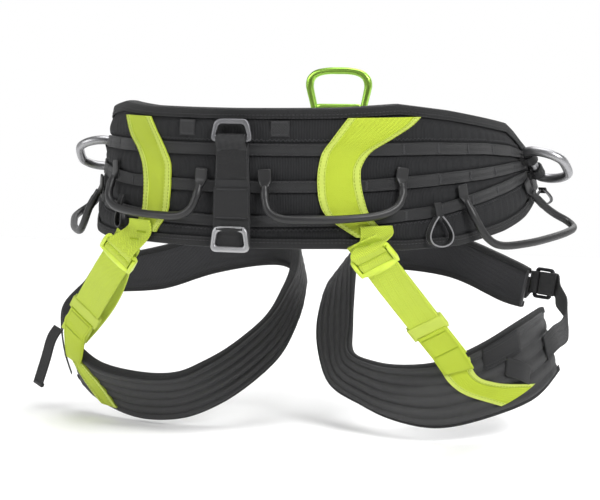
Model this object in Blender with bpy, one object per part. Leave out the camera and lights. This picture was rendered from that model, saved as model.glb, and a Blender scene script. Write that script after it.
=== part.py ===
"""Tree climbing saddle: padded waist belt, leg loops, rings, gear loops and straps.

World frame: X to the wearer's right, Y to the wearer's front, Z up. The origin is
on the wearer's axis at the middle height of the belt. Lengths below are in
millimetres and are turned into metres when a mesh is made.
"""
import math

import bmesh
import bpy
import numpy as np

MM = 0.001

# Waist belt plan: half ellipses behind and in front of the wearer's axis.
WIDTH_RIGHT = 228.0
WIDTH_LEFT = 199.0
DEPTH_BACK = 235.0
DEPTH_FRONT = 108.0
FLARE_BACK = 0.05
FLARE_SIDE = 0.18
BELT_END = 360.0
STEP = 15.0

# Belt outline heights at distances along the belt from the centre of the back.
EDGE_U = (0.0, 95.0, 155.0, 212.0, 271.0, 300.0, 315.0, 330.0, 360.0)
TOP_V = (65.5, 66.0, 69.0, 61.8, 52.0, 47.0, 39.0, 29.0, 13.0)
BOTTOM_V = (-64.5, -64.5, -67.5, -66.0, -57.0, -50.5, -46.5, -41.0, -30.0)

# Layers of the belt, measured outward from the wearer.
LINING = (0.0, 2.6)
SHELL = (3.0, 12.6)
BAND = (13.2, 14.9)
TRIM = (15.3, 16.7)
STRAP = (17.1, 19.0)
BINDING_HEIGHT = 9.0

# Rows of the two shaped trims: inner edge, outer edge and height on the belt.
TRIM_RIGHT = (
    (104.0, 176.0, 58.0), (97.0, 165.0, 49.0), (89.0, 146.0, 38.0), (80.5, 125.0, 25.8),
    (77.0, 116.0, 13.0), (75.8, 114.5, 2.0), (76.0, 115.5, -9.0), (77.5, 118.0, -21.0),
    (82.0, 121.3, -32.0), (92.0, 128.0, -42.0), (103.0, 137.0, -50.0), (110.0, 142.0, -55.0),
)
TRIM_LEFT = (
    (-95.0, -141.0, 57.0), (-89.0, -136.0, 49.0), (-81.0, -128.0, 38.6), (-72.0, -113.0, 25.8),
    (-65.0, -104.0, 13.0), (-64.2, -100.5, 2.0), (-64.1, -99.0, -9.0), (-64.8, -98.6, -21.0),
    (-66.0, -99.0, -32.0), (-71.0, -103.0, -42.0), (-77.0, -108.0, -50.0), (-80.0, -111.0, -55.0),
)

# Bands of webbing round the belt: lower edge and upper edge heights.
BAND_U = (0.0, 120.0, 185.0, 215.0, 255.0, 300.0, 333.0)
BANDS = {
    "waist_band_upper": ((22.5, 34.0), (22.0, 34.0), (21.5, 33.5), (20.5, 32.0),
                         (19.0, 30.0), (14.5, 25.0), (10.5, 17.5)),
    "waist_band_middle": ((-13.0, -1.5), (-12.0, -0.5), (-8.5, 3.0), (-7.0, 4.5),
                          (-5.0, 6.0), (-2.0, 8.0), (0.0, 8.0)),
    "waist_band_lower": ((-45.5, -34.5), (-43.5, -32.5), (-38.5, -27.5), (-32.5, -21.5),
                         (-25.0, -14.0), (-17.0, -6.5), (-11.0, -2.5)),
}

# Leg loop stations: lower edge and upper edge, from the front round the crotch,
# inner thigh and back to the outer end of the pad.
LEG_RIGHT = (
    ((214, 84, -160), (222, 86, -119)), ((190, 92, -155), (200, 94, -110)),
    ((134, 104, -134), (136, 106, -88)), ((76, 100, -126), (82, 104, -82)),
    ((34, 84, -126), (48, 92, -92)), ((13, 48, -146), (38, 62, -116)),
    ((11, 4, -178), (44, 22, -152)), ((19, -22, -206), (50, -4, -180)),
    ((42, -46, -236), (60, -34, -200)), ((80, -63, -249), (86, -57, -204)),
    ((120, -79, -259), (122, -77, -203)), ((166, -84, -262), (165, -87, -195)),
    ((214, -63, -251), (203, -68, -178)), ((248, -32, -238), (232, -30, -160)),
    ((266, 2, -216), (246, 12, -152)),
)
LEG_LEFT = (
    ((-254, 60, -160), (-246, 64, -118)), ((-202, 82, -157), (-202, 84, -108)),
    ((-150, 96, -140), (-148, 98, -92)), ((-96, 98, -128), (-98, 102, -84)),
    ((-56, 74, -124), (-62, 82, -90)), ((-29, 42, -132), (-40, 52, -98)),
    ((-20, 12, -157), (-31, 24, -119)), ((-20, -14, -183), (-31, -8, -140)),
    ((-30, -40, -212), (-40, -38, -166)), ((-60, -65, -240), (-66, -72, -192)),
    ((-92, -77, -258), (-92, -94, -208)), ((-126, -82, -268), (-118, -106, -218)),
    ((-170, -74, -270), (-160, -102, -220)), ((-216, -58, -258), (-210, -88, -214)),
    ((-250, -36, -240), (-252, -62, -196)),
)
LEG_LINING = 2.6
LEG_PAD = (3.0, 11.0)
LEG_TOP = (12.2, 13.6)

GEAR_TUBE = 3.9
SIDE_LOOP_LEFT = 0.93
RING_TUBE = 4.6

COLOURS = {
    "black_fabric": (0.035, 0.036, 0.039), "black_webbing": (0.048, 0.049, 0.052),
    "black_mesh": (0.020, 0.020, 0.021), "green_webbing": (0.62, 0.78, 0.08),
    "green_plastic": (0.64, 0.80, 0.10), "green_anodised": (0.36, 0.62, 0.12),
    "grey_aluminium": (0.45, 0.45, 0.46), "black_plastic": (0.018, 0.018, 0.019),
    "dark_metal": (0.10, 0.10, 0.105),
}
METALS = ("green_anodised", "grey_aluminium", "dark_metal")


def clear_scene():
    """Remove what the scene holds so that only the saddle remains."""
    for item in list(bpy.data.objects):
        bpy.data.objects.remove(item, do_unlink=True)


def make_material(name, look):
    """A plain coloured surface for one sub-part."""
    material = bpy.data.materials.new(name)
    material.use_nodes = True
    shader = material.node_tree.nodes["Principled BSDF"]
    shader.inputs["Base Color"].default_value = (*COLOURS[look], 1.0)
    shader.inputs["Metallic"].default_value = 1.0 if look in METALS else 0.0
    shader.inputs["Roughness"].default_value = 0.35 if look in METALS else 0.75
    material.diffuse_color = (*COLOURS[look], 1.0)
    return material


def make_node(name, points, faces, look, pivot=(0.0, 0.0, 0.0), smooth=False):
    """One closed body whose origin lies on its pivot."""
    base = np.asarray(pivot, float)
    data = [tuple((np.asarray(p, float) - base) * MM) for p in points]
    mesh = bpy.data.meshes.new(name)
    mesh.from_pydata(data, [], [tuple(f) for f in faces])
    body = bmesh.new()
    body.from_mesh(mesh)
    bmesh.ops.recalc_face_normals(body, faces=body.faces[:])
    if body.calc_volume(signed=True) < 0.0:
        bmesh.ops.reverse_faces(body, faces=body.faces[:])
    body.to_mesh(mesh)
    body.free()
    if smooth:
        mesh.polygons.foreach_set("use_smooth", [True] * len(mesh.polygons))
    mesh.materials.append(make_material(name + "_surface", look))
    node = bpy.data.objects.new(name, mesh)
    node.location = tuple(base * MM)
    bpy.context.scene.collection.objects.link(node)
    return node


def slab(inner, outer):
    """Closed body between two grids of points with the same rows and columns."""
    inner = np.asarray(inner, float)
    outer = np.asarray(outer, float)
    rows, cols = inner.shape[:2]
    count = rows * cols
    points = list(inner.reshape(-1, 3)) + list(outer.reshape(-1, 3))
    faces = []

    def at(r, c, side):
        return side * count + r * cols + c

    for r in range(rows - 1):
        for c in range(cols - 1):
            faces.append((at(r, c, 0), at(r + 1, c, 0), at(r + 1, c + 1, 0), at(r, c + 1, 0)))
            faces.append((at(r, c, 1), at(r, c + 1, 1), at(r + 1, c + 1, 1), at(r + 1, c, 1)))
    for c in range(cols - 1):
        faces.append((at(0, c, 0), at(0, c + 1, 0), at(0, c + 1, 1), at(0, c, 1)))
        last = rows - 1
        faces.append((at(last, c, 0), at(last, c, 1), at(last, c + 1, 1), at(last, c + 1, 0)))
    end = cols - 1
    for r in range(rows - 1):
        faces.append((at(r, 0, 0), at(r, 0, 1), at(r + 1, 0, 1), at(r + 1, 0, 0)))
        faces.append((at(r, end, 0), at(r + 1, end, 0), at(r + 1, end, 1), at(r, end, 1)))
    return points, faces


def sweep(sections, closed=False):
    """Closed body through a chain of sections with equal point counts."""
    count = len(sections[0])
    points = [p for section in sections for p in section]
    faces = []
    total = len(sections)
    for i in range(total if closed else total - 1):
        j = (i + 1) % total
        for k in range(count):
            m = (k + 1) % count
            faces.append((i * count + k, i * count + m, j * count + m, j * count + k))
    if not closed:
        faces.append(tuple(range(count - 1, -1, -1)))
        faces.append(tuple((total - 1) * count + k for k in range(count)))
    return points, faces


def unit(v):
    """Vector of length one."""
    v = np.asarray(v, float)
    return v / max(np.linalg.norm(v), 1e-9)


def plan_table():
    """Angle against distance along the outline of the belt from the back centre."""
    angle = np.linspace(-math.pi, math.pi, 7201)
    depth = np.where(np.abs(angle) <= math.pi / 2, DEPTH_BACK, DEPTH_FRONT)
    x = np.where(angle < 0.0, WIDTH_LEFT, WIDTH_RIGHT) * np.sin(angle)
    y = -depth * np.cos(angle)
    walk = np.concatenate([[0.0], np.cumsum(np.hypot(np.diff(x), np.diff(y)))])
    walk -= np.interp(0.0, angle, walk)
    return angle, walk


ANGLES, WALK = plan_table()
FRONT_RIGHT = float(WALK[-1])
FRONT_LEFT = float(WALK[0])


def belt_point(u, v, n):
    """Point at distance u round the belt, height v and depth n outward."""
    angle = float(np.interp(u, WALK, ANGLES))
    depth = DEPTH_BACK if abs(angle) <= math.pi / 2 else DEPTH_FRONT
    width = WIDTH_RIGHT if angle >= 0.0 else WIDTH_LEFT
    x = width * math.sin(angle)
    y = -depth * math.cos(angle)
    out = unit((math.sin(angle) / width, -math.cos(angle) / depth))
    flare = FLARE_BACK + (FLARE_SIDE - FLARE_BACK) * math.sin(angle) ** 2
    offset = n - v * flare
    return np.array([x + out[0] * offset, y + out[1] * offset, v])


def belt_frame(u, v):
    """Directions along the belt, up its face and outward at a place on it."""
    along = unit(belt_point(u + 1.0, v, 0.0) - belt_point(u - 1.0, v, 0.0))
    up = unit(belt_point(u, v + 1.0, 0.0) - belt_point(u, v - 1.0, 0.0))
    out = unit(belt_point(u, v, 1.0) - belt_point(u, v, 0.0))
    return along, up, out


def top_edge(u):
    """Height of the belt's top edge."""
    return float(np.interp(abs(u), EDGE_U, TOP_V))


def bottom_edge(u):
    """Height of the belt's bottom edge."""
    return float(np.interp(abs(u), EDGE_U, BOTTOM_V))


def belt_sheet(grid, layer):
    """Layer of cloth on the belt from a grid of (u, v) places."""
    inner = [[belt_point(u, v, layer[0]) for u, v in row] for row in grid]
    outer = [[belt_point(u, v, layer[1]) for u, v in row] for row in grid]
    return slab(inner, outer)


def run_of(start, end, step=STEP):
    """Even stations between two distances round the belt."""
    count = max(2, int(math.ceil(abs(end - start) / step)) + 1)
    return [float(u) for u in np.linspace(start, end, count)]


def waist_layers():
    """Lining, foam and shell of the belt, then its two edge bindings."""
    stations = run_of(-BELT_END, BELT_END)
    for name, layer, look in (
        ("waist_lining", LINING, "black_mesh"),
        ("waist_shell", SHELL, "black_fabric"),
    ):
        grid = []
        for share in (0.0, 0.33, 0.67, 1.0):
            row = [(u, bottom_edge(u) + 2.5, top_edge(u) - 2.5) for u in stations]
            grid.append([(u, a + (b - a) * share) for u, a, b in row])
        points, faces = belt_sheet(grid, layer)
        make_node(name, points, faces, look)
    make_binding("waist_binding_top", stations, top_edge, -1.0)
    make_binding("waist_binding_bottom", stations, bottom_edge, 1.0)


def make_binding(name, stations, edge, inward):
    """Folded tape over one edge of the belt."""
    low, high = LINING[0] - 0.4, SHELL[1] + 0.4
    sections = []
    for u in stations:
        rim = edge(u)
        lip = rim + inward * BINDING_HEIGHT
        seat = rim + inward * 2.1
        profile = (
            (rim, low - 1.2), (rim, high + 1.2), (lip, high + 1.2), (lip, high),
            (seat, high), (seat, low), (lip, low), (lip, low - 1.2),
        )
        sections.append([belt_point(u, v, n) for v, n in profile])
    points, faces = sweep(sections)
    make_node(name, points, faces, "black_webbing")


def waist_bands():
    """Bands of webbing that carry the load round the belt and meet at the side rings."""
    for name, rows in BANDS.items():
        lows = [r[0] for r in rows]
        highs = [r[1] for r in rows]
        stations = run_of(-333.0, 333.0)
        grid = [
            [(u, float(np.interp(abs(u), BAND_U, lows))) for u in stations],
            [(u, float(np.interp(abs(u), BAND_U, highs))) for u in stations],
        ]
        points, faces = belt_sheet(grid, BAND)
        make_node(name, points, faces, "black_webbing")


def waist_patches():
    """Small bartacked squares of webbing either side of the back strap."""
    for name, centre in (("waist_patch_left", -47.0), ("waist_patch_right", 42.5)):
        grid = [[(centre + s, v) for s in (-8.5, 0.0, 8.5)] for v in (40.5, 55.5)]
        points, faces = belt_sheet(grid, BAND)
        make_node(name, points, faces, "black_webbing")


def belt_trims():
    """Shaped coloured panels from the top of the belt down to the hip straps."""
    for name, rows in (("belt_trim_right", TRIM_RIGHT), ("belt_trim_left", TRIM_LEFT)):
        grid = []
        for near, far, v in rows:
            grid.append([(near + (far - near) * s, v) for s in (0.0, 0.25, 0.5, 0.75, 1.0)])
        points, faces = belt_sheet(grid, TRIM)
        make_node(name, points, faces, "green_webbing")


def dorsal_parts():
    """Centre back strap with its closure patch, label and the flap in the lower ring."""
    rows = ((15.0, 34.0), (15.5, 10.0), (16.5, -10.0), (17.0, -42.0), (17.0, -64.0))
    grid = [[(s * w, v) for s in (-1.0, 0.0, 1.0)] for w, v in rows]
    points, faces = belt_sheet(grid, STRAP)
    make_node("dorsal_strap", points, faces, "black_webbing")
    grid = [[(s * 14.0, v) for s in (-1.0, 0.0, 1.0)] for v in (0.5, 31.0)]
    points, faces = belt_sheet(grid, (19.4, 20.8))
    make_node("dorsal_closure_patch", points, faces, "black_mesh")
    grid = [[(s * 16.5, v) for s in (-1.0, 0.0, 1.0)] for v in (-38.0, -8.0)]
    points, faces = belt_sheet(grid, (19.4, 20.6))
    make_node("dorsal_label", points, faces, "black_fabric")
    grid = [[(s * 11.0, v) for s in (-1.0, 0.0, 1.0)] for v in (-61.5, -51.5)]
    points, faces = belt_sheet(grid, (19.4, 20.6))
    make_node("dorsal_ring_flap", points, faces, "black_fabric")


def plate(outline, hole, centre, right, up, out, thick, bevel):
    """Flat ring between two outlines with softened edges, as points and faces."""
    count = len(outline)
    layers = ((-0.5, bevel), (-0.5 + bevel / thick, 0.0), (0.5 - bevel / thick, 0.0), (0.5, bevel))
    outline = np.asarray(outline, float)
    hole = np.asarray(hole, float)
    sections = []
    for i in range(count):
        across = unit(hole[i] - outline[i])
        section = []
        for depth, inset in layers:
            p = outline[i] + across * inset
            section.append(centre + right * p[0] + up * p[1] + out * depth * thick)
        for depth, inset in reversed(layers):
            p = hole[i] - across * inset
            section.append(centre + right * p[0] + up * p[1] + out * depth * thick)
        sections.append(section)
    return sweep(sections, closed=True)


def trapezoid(top, bottom, height, corner, segments=3):
    """Rounded trapezoid outline centred on its mid height, from bottom left."""
    corners = (
        (-bottom / 2, -height / 2), (bottom / 2, -height / 2),
        (top / 2, height / 2), (-top / 2, height / 2),
    )
    points = []
    for i in range(4):
        here = np.array(corners[i])
        back = unit(np.array(corners[i - 1]) - here)
        ahead = unit(np.array(corners[(i + 1) % 4]) - here)
        for k in range(segments + 1):
            s = k / segments
            a = here + back * corner * (1.0 - s) ** 2
            points.append(a + ahead * corner * s ** 2)
    return points


def dorsal_rings():
    """Trapezoid ring at the top of the back strap and restraint ring at its foot."""
    along, up, out = belt_frame(0.0, 47.0)
    centre = belt_point(0.0, 46.5, 21.2)
    outline = trapezoid(34.0, 43.0, 22.0, 7.0)
    hole = trapezoid(25.0, 32.5, 12.0, 3.5)
    points, faces = plate(outline, hole, centre, along, up, out, 4.0, 1.0)
    pivot = belt_point(0.0, 37.5, 21.2)
    make_node("dorsal_adjust_ring", points, faces, "grey_aluminium", pivot)
    along, up, out = belt_frame(0.0, -56.0)
    centre = belt_point(0.0, -56.5, 22.4)
    outline = trapezoid(34.0, 40.0, 25.0, 7.0)
    hole = trapezoid(25.0, 30.0, 14.0, 3.5)
    points, faces = plate(outline, hole, centre, along, up, out, 4.6, 1.1)
    pivot = belt_point(0.0, -46.5, 22.4)
    make_node("dorsal_restraint_ring", points, faces, "grey_aluminium", pivot)


def tube(path, radius, sides=8, closed=False, flat=None):
    """Round bar along a path as points and faces."""
    path = [np.asarray(p, float) for p in path]
    total = len(path)
    reference = unit(flat) if flat is not None else None
    sections = []
    for i, p in enumerate(path):
        ahead = path[(i + 1) % total] if closed or i < total - 1 else p
        behind = path[i - 1] if closed or i > 0 else p
        tangent = unit(ahead - behind)
        if reference is None:
            reference = unit(np.cross(tangent, (0.3, 0.2, 0.9)))
        side = unit(reference - tangent * np.dot(reference, tangent))
        if flat is None:
            reference = side
        other = np.cross(tangent, side)
        section = []
        for k in range(sides):
            turn = 2.0 * math.pi * (k + 0.5) / sides
            reach = radius / math.cos(math.pi / sides)
            section.append(p + side * reach * math.cos(turn) + other * reach * math.sin(turn))
        sections.append(section)
    return sweep(sections, closed)


def smooth_path(points, per_span=4, closed=False):
    """Curve through control points."""
    pts = [np.asarray(p, float) for p in points]
    total = len(pts)
    spans = total if closed else total - 1
    out = []
    for i in range(spans):
        if closed:
            a, b, c, d = (pts[(i + k) % total] for k in (-1, 0, 1, 2))
        else:
            a, b, c, d = pts[max(i - 1, 0)], pts[i], pts[i + 1], pts[min(i + 2, total - 1)]
        for k in range(per_span):
            s = k / per_span
            out.append(0.5 * (2 * b + (c - a) * s + (2 * a - 5 * b + 4 * c - d) * s ** 2
                              + (3 * b - a - 3 * c + d) * s ** 3))
    if not closed:
        out.append(pts[-1])
    return out


LATERAL_UP = {1.0: (321.0, 18.0), -1.0: (310.0, 20.0)}
LATERAL_LOW = {1.0: (350.0, -9.0), -1.0: (338.0, -8.0)}
LATERAL_STAND = {1.0: 23.0, -1.0: 23.5}
LATERAL_TILT = (0.0, -0.38, 0.12)


def lateral_frame(side):
    """Centre, bar direction and outward direction of a side ring."""
    high, low, stand = LATERAL_UP[side], LATERAL_LOW[side], LATERAL_STAND[side]
    a = belt_point(side * high[0], high[1], stand)
    b = belt_point(side * low[0], low[1], stand)
    bar = unit(a - b)
    out = belt_frame(side * 340.0, 4.0)[2]
    out = unit(out + np.array(LATERAL_TILT))
    out = unit(out - bar * np.dot(out, bar))
    return (a + b) / 2, bar, out


def lateral_rings():
    """Forged side rings, each with a straight bar held by two webbing loops."""
    for word, side in (("right", 1.0), ("left", -1.0)):
        centre, bar, out = lateral_frame(side)
        arc = [(22.5, 5.0), (23.0, 13.0), (21.0, 22.5), (16.5, 31.0), (9.0, 36.5)]
        outline = [(-19.5, 0.0), (-7.0, 0.0), (7.0, 0.0), (19.5, 0.0)] + arc
        outline += [(-a, b) for a, b in reversed(arc)]
        path = [centre + bar * a + out * b for a, b in outline]
        face = np.cross(bar, out)
        points, faces = tube(path, RING_TUBE, 8, True, flat=face)
        make_node("lateral_ring_" + word, points, faces, "grey_aluminium", centre, True)
        make_ring_loops(word, centre, bar, out)


def make_ring_loops(word, centre, bar, out):
    """Folded webbing round the bar of a side ring, one near each end."""
    face = np.cross(bar, out)
    for end, shift in (("upper", 11.5), ("lower", -11.5)):
        sections = []
        radius_in, radius_out = RING_TUBE + 0.8, RING_TUBE + 2.8
        for turn in np.linspace(-math.radians(125.0), math.radians(125.0), 9):
            spoke = out * math.cos(turn) + face * math.sin(turn)
            row = []
            for along in (-5.5, 5.5):
                row.append(centre + bar * (shift + along) + spoke * radius_in)
            for along in (5.5, -5.5):
                row.append(centre + bar * (shift + along) + spoke * radius_out)
            sections.append(row)
        points, faces = sweep(sections)
        make_node("lateral_ring_" + word + "_loop_" + end, points, faces, "black_webbing")


def gear_loop_path(kind, side):
    """Control points of one moulded gear loop."""
    if kind == "rear":
        places = (
            (30.0, -6.0, 20.0), (31.0, -18.0, 24.0), (35.0, -29.0, 27.0), (46.0, -35.5, 28.0),
            (68.0, -36.5, 28.0), (98.0, -36.0, 28.0), (125.0, -33.5, 28.0), (142.0, -27.0, 27.0),
            (150.0, -16.0, 24.0), (152.0, -5.0, 20.0),
        )
        return [belt_point(side * u, v, n) for u, v, n in places]
    places = (
        (218.0, -24.0, 20.0), (222.0, -42.0, 27.0), (231.0, -60.0, 30.0), (246.0, -68.5, 32.0),
        (275.0, -68.5, 38.0), (305.0, -66.0, 44.0), (330.0, -63.0, 50.0), (346.0, -60.0, 51.0),
        (350.0, -54.0, 44.0), (344.0, -47.0, 35.0), (335.0, -38.0, 28.0), (326.0, -24.0, 20.0),
    )
    reach = 1.0 if side > 0 else SIDE_LOOP_LEFT
    return [belt_point(side * u * reach, v, n) for u, v, n in places]


def gear_loops():
    """Four moulded gear loops, each hinged on its two sewn ends."""
    for kind in ("rear", "side"):
        for word, side in (("right", 1.0), ("left", -1.0)):
            control = gear_loop_path(kind, side)
            path = smooth_path(control, 3)
            points, faces = tube(path, GEAR_TUBE, 7)
            pivot = (control[0] + control[-1]) / 2
            make_node("gear_loop_" + kind + "_" + word, points, faces, "black_plastic", pivot, True)


def tape_loop(name, centre, right, up, out, width, height, tape, look="black_webbing"):
    """Small drop shaped loop of tape standing off the belt."""
    places = (
        (-0.08, 0.5), (-0.3, 0.25), (-0.5, -0.12), (-0.42, -0.38), (-0.15, -0.5),
        (0.15, -0.5), (0.42, -0.38), (0.5, -0.12), (0.3, 0.25), (0.08, 0.5),
    )
    sections = []
    total = len(places)
    for i in range(total):
        here = np.array(places[i]) * (width, height)
        ahead = np.array(places[min(i + 1, total - 1)]) * (width, height)
        behind = np.array(places[max(i - 1, 0)]) * (width, height)
        tangent = unit(ahead - behind)
        inward = np.array([-tangent[1], tangent[0]])
        row = []
        for depth, inset in ((-0.5, 0.0), (0.5, 0.0), (0.5, 1.8), (-0.5, 1.8)):
            p = here + inward * inset
            row.append(centre + right * p[0] + up * p[1] + out * depth * tape)
        sections.append(row)
    points, faces = sweep(sections)
    make_node(name, points, faces, look)


def accessory_loops():
    """Loops for small tools: a drop and a small loop at right, a clip loop at left."""
    along, up, out = belt_frame(185.0, -50.0)
    tape_loop("tool_loop_drop_right", belt_point(186.0, -51.0, 21.5), along, up, out, 24.0, 27.0, 7.0)
    along, up, out = belt_frame(340.0, -28.0)
    tape_loop("tool_loop_side_right", belt_point(346.0, -27.0, 26.0), out, up, along, 17.0, 15.0, 9.0)
    along, up, out = belt_frame(-130.0, -42.0)
    centre = belt_point(-131.0, -44.0, 20.0)
    tape_loop("tool_clip_left", centre, along, up, out, 12.0, 18.0, 5.0, "black_plastic")


# Hip strap runs: lock and leg end of each side.
HIP_RIGHT = {
    "lock": (131.0, -219.5, -75.0), "end": (183.0, -106.0, -188.0),
    "across": (0.93, 0.22, 0.30), "tab_u": 127.0, "width": 33.0,
}
HIP_LEFT = {
    "lock": (-133.0, -211.0, -79.0), "end": (-243.0, -86.0, -190.0),
    "across": (0.80, -0.10, -0.50), "tab_u": -98.0, "width": 33.0,
}


def hip_direction(data):
    """Unit vector down the hip strap."""
    return unit(np.array(data["end"]) - np.array(data["lock"]))


def hip_frame(data):
    """Across, down and outward directions of a hip strap."""
    down = hip_direction(data)
    across = np.asarray(data["across"], float)
    across = unit(across - down * np.dot(across, down))
    out = np.cross(across, down)
    if out[1] > 0.0:
        out = -out
    return across, down, out


def hip_parts():
    """Webbing from each trim to the leg loop with its adjuster and keepers."""
    for word, data in (("right", HIP_RIGHT), ("left", HIP_LEFT)):
        across, down, out = hip_frame(data)
        lock = np.array(data["lock"])
        u = data["tab_u"]
        along = belt_frame(u, -58.0)[0]
        top = belt_point(u, -50.0, 19.2)
        stop = lock - down * 17.0 + out * 1.6
        rim = (top + stop) / 2 + belt_frame(u, -60.0)[2] * 1.5
        half = data["width"] / 2
        sides = [along, unit(along + across), across]
        points, faces = ribbon([top, rim, stop], sides, data["width"] - 1.0, 1.8, out)
        make_node("hip_tab_" + word, points, faces, "green_webbing")
        make_lock("ladder_lock_" + word, lock, across, down, out, half)
        make_leg_strap(word, data, across, down, out)


def ribbon(path, sides, width, thick, out, away=None):
    """Flat strap with a stated side direction at each place."""
    total = len(path)
    inner, outer = [[], []], [[], []]
    for i in range(total):
        tangent = unit(path[min(i + 1, total - 1)] - path[max(i - 1, 0)])
        side = unit(sides[i])
        normal = unit(np.cross(tangent, side))
        facing = out if out is not None else path[i] - away
        if np.dot(normal, facing) < 0.0:
            normal = -normal
        size = width[i] if isinstance(width, (list, tuple)) else width
        for row, sign in ((0, -0.5), (1, 0.5)):
            edge = path[i] + side * size * sign
            inner[row].append(edge)
            outer[row].append(edge + normal * thick)
    return slab(inner, outer)


def make_lock(name, centre, across, down, out, half):
    """Moulded adjuster: a frame with raised side rails round one slot."""
    outline = trapezoid(2 * half + 9.0, 2 * half + 9.0, 27.0, 4.0, 2)
    hole = trapezoid(2 * half + 1.0, 2 * half + 1.0, 15.0, 1.5, 2)
    points, faces = plate(outline, hole, centre + out * 2.2, across, -down, out, 6.0, 1.0)
    pivot = centre + out * 2.2 - down * 10.5
    make_node(name, points, faces, "green_plastic", pivot)


def make_leg_strap(word, data, across, down, out):
    """Strap from the adjuster to the leg loop, with a stretch keeper on it."""
    lock = np.array(data["lock"])
    end = np.array(data["end"])
    length = float(np.linalg.norm(end - lock))
    width = data["width"]
    path = [lock + down * (14.2 + (length - 16.0) * s) for s in (0.0, 0.33, 0.66, 1.0)]
    points, faces = ribbon(path, [across] * 4, width, 2.0, out)
    make_node("leg_strap_" + word, points, faces, "green_webbing")
    lift = out * 2.6
    path = [lock + down * (length * s) + lift for s in (0.62, 0.84)]
    points, faces = ribbon(path, [across] * 2, width - 1.0, 1.4, out)
    make_node("leg_strap_keeper_" + word, points, faces, "green_webbing")


def resample(stations, count):
    """Even smooth stations of a padded leg band."""
    low = smooth_path([s[0] for s in stations], 6)
    high = smooth_path([s[1] for s in stations], 6)
    pick = np.linspace(0, len(low) - 1, count)
    chosen = [int(round(i)) for i in pick]
    return [low[i] for i in chosen], [high[i] for i in chosen]


def band_normals(low, high, centre):
    """Outward directions of a band, pointing away from the thigh."""
    normals = []
    total = len(low)
    for i in range(total):
        a, b = max(i - 1, 0), min(i + 1, total - 1)
        tangent = unit((low[b] + high[b]) - (low[a] + high[a]))
        normal = unit(np.cross(tangent, unit(high[i] - low[i])))
        away = (low[i] + high[i]) / 2 - centre
        away[2] = 0.0
        if np.dot(normal, away) < 0.0:
            normal = -normal
        normals.append(normal)
    return normals


def band_slab(low, high, normals, rows, layer, start=0, end=None):
    """Part of a leg band between two depths and across some of its width."""
    end = len(low) if end is None else end
    inner, outer = [], []
    for share in rows:
        line = [low[i] + (high[i] - low[i]) * share for i in range(start, end)]
        inner.append([p + normals[start + i] * layer[0] for i, p in enumerate(line)])
        outer.append([p + normals[start + i] * layer[1] for i, p in enumerate(line)])
    return slab(inner, outer)


LEG_COUNT = 43


def leg_loops():
    """Padded leg loops with lining, edging, trim, buckle and closing strap."""
    bands = {}
    for word, stations in (("right", LEG_RIGHT), ("left", LEG_LEFT)):
        low, high = resample(stations, LEG_COUNT)
        centre = np.mean([(a + b) / 2 for a, b in zip(low, high)], axis=0)
        normals = band_normals(low, high, centre)
        pivot = LEG_PIVOT[word]
        rows = (0.0, 0.5, 1.0)
        points, faces = band_slab(low, high, normals, rows, (0.0, LEG_LINING))
        make_node("leg_lining_" + word, points, faces, "black_mesh", pivot)
        points, faces = band_slab(low, high, normals, rows, LEG_PAD)
        make_node("leg_pad_" + word, points, faces, "black_fabric", pivot)
        make_leg_trim(word, low, high, normals, pivot)
        bands[word] = (low, high, normals)
        make_closure(word, bands[word], pivot)
    make_tails(bands)


LEG_PIVOT = {"right": (110.0, 104.0, -106.0), "left": (-110.0, 102.0, -106.0)}
LEG_TRIM = {
    "right": ((33.1, 34.9, 0.97, 0.95), (33.3, 35.0, 0.80, 0.76), (33.8, 35.3, 0.60, 0.62),
              (34.5, 35.9, 0.42, 0.50), (35.4, 37.0, 0.26, 0.36), (36.4, 39.0, 0.10, 0.18)),
    "left": ((41.6, 40.2, 0.95, 0.97), (41.2, 39.6, 0.72, 0.86), (40.6, 38.8, 0.50, 0.70),
             (39.9, 38.2, 0.32, 0.50), (39.2, 37.7, 0.16, 0.30), (38.6, 37.3, 0.04, 0.12)),
}


def band_at(band, place, share, depth):
    """Point on a leg band at a fractional station, share of width and depth."""
    low, high, normals = band
    i = min(int(place), len(low) - 2)
    s = place - i
    foot = low[i] * (1.0 - s) + low[i + 1] * s
    head = high[i] * (1.0 - s) + high[i + 1] * s
    normal = unit(normals[i] * (1.0 - s) + normals[i + 1] * s)
    return foot + (head - foot) * share + normal * depth


def make_leg_trim(word, low, high, normals, pivot):
    """Curved coloured reinforcement where the hip strap meets the leg loop."""
    band = (low, high, normals)
    rows = LEG_TRIM[word]
    inner, outer = [], []
    for k in range(2 * len(rows) - 1):
        here = np.array(rows[k // 2], float)
        if k % 2:
            here = (here + np.array(rows[k // 2 + 1], float)) / 2
        a, b, share_a, share_b = here
        ring_in, ring_out = [], []
        for s in (0.0, 0.25, 0.5, 0.75, 1.0):
            place, share = a + (b - a) * s, share_a + (share_b - share_a) * s
            ring_in.append(band_at(band, place, share, LEG_TOP[0]))
            ring_out.append(band_at(band, place, share, LEG_TOP[1]))
        inner.append(ring_in)
        outer.append(ring_out)
    points, faces = slab(inner, outer)
    make_node("leg_trim_" + word, points, faces, "green_webbing", pivot)


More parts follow.
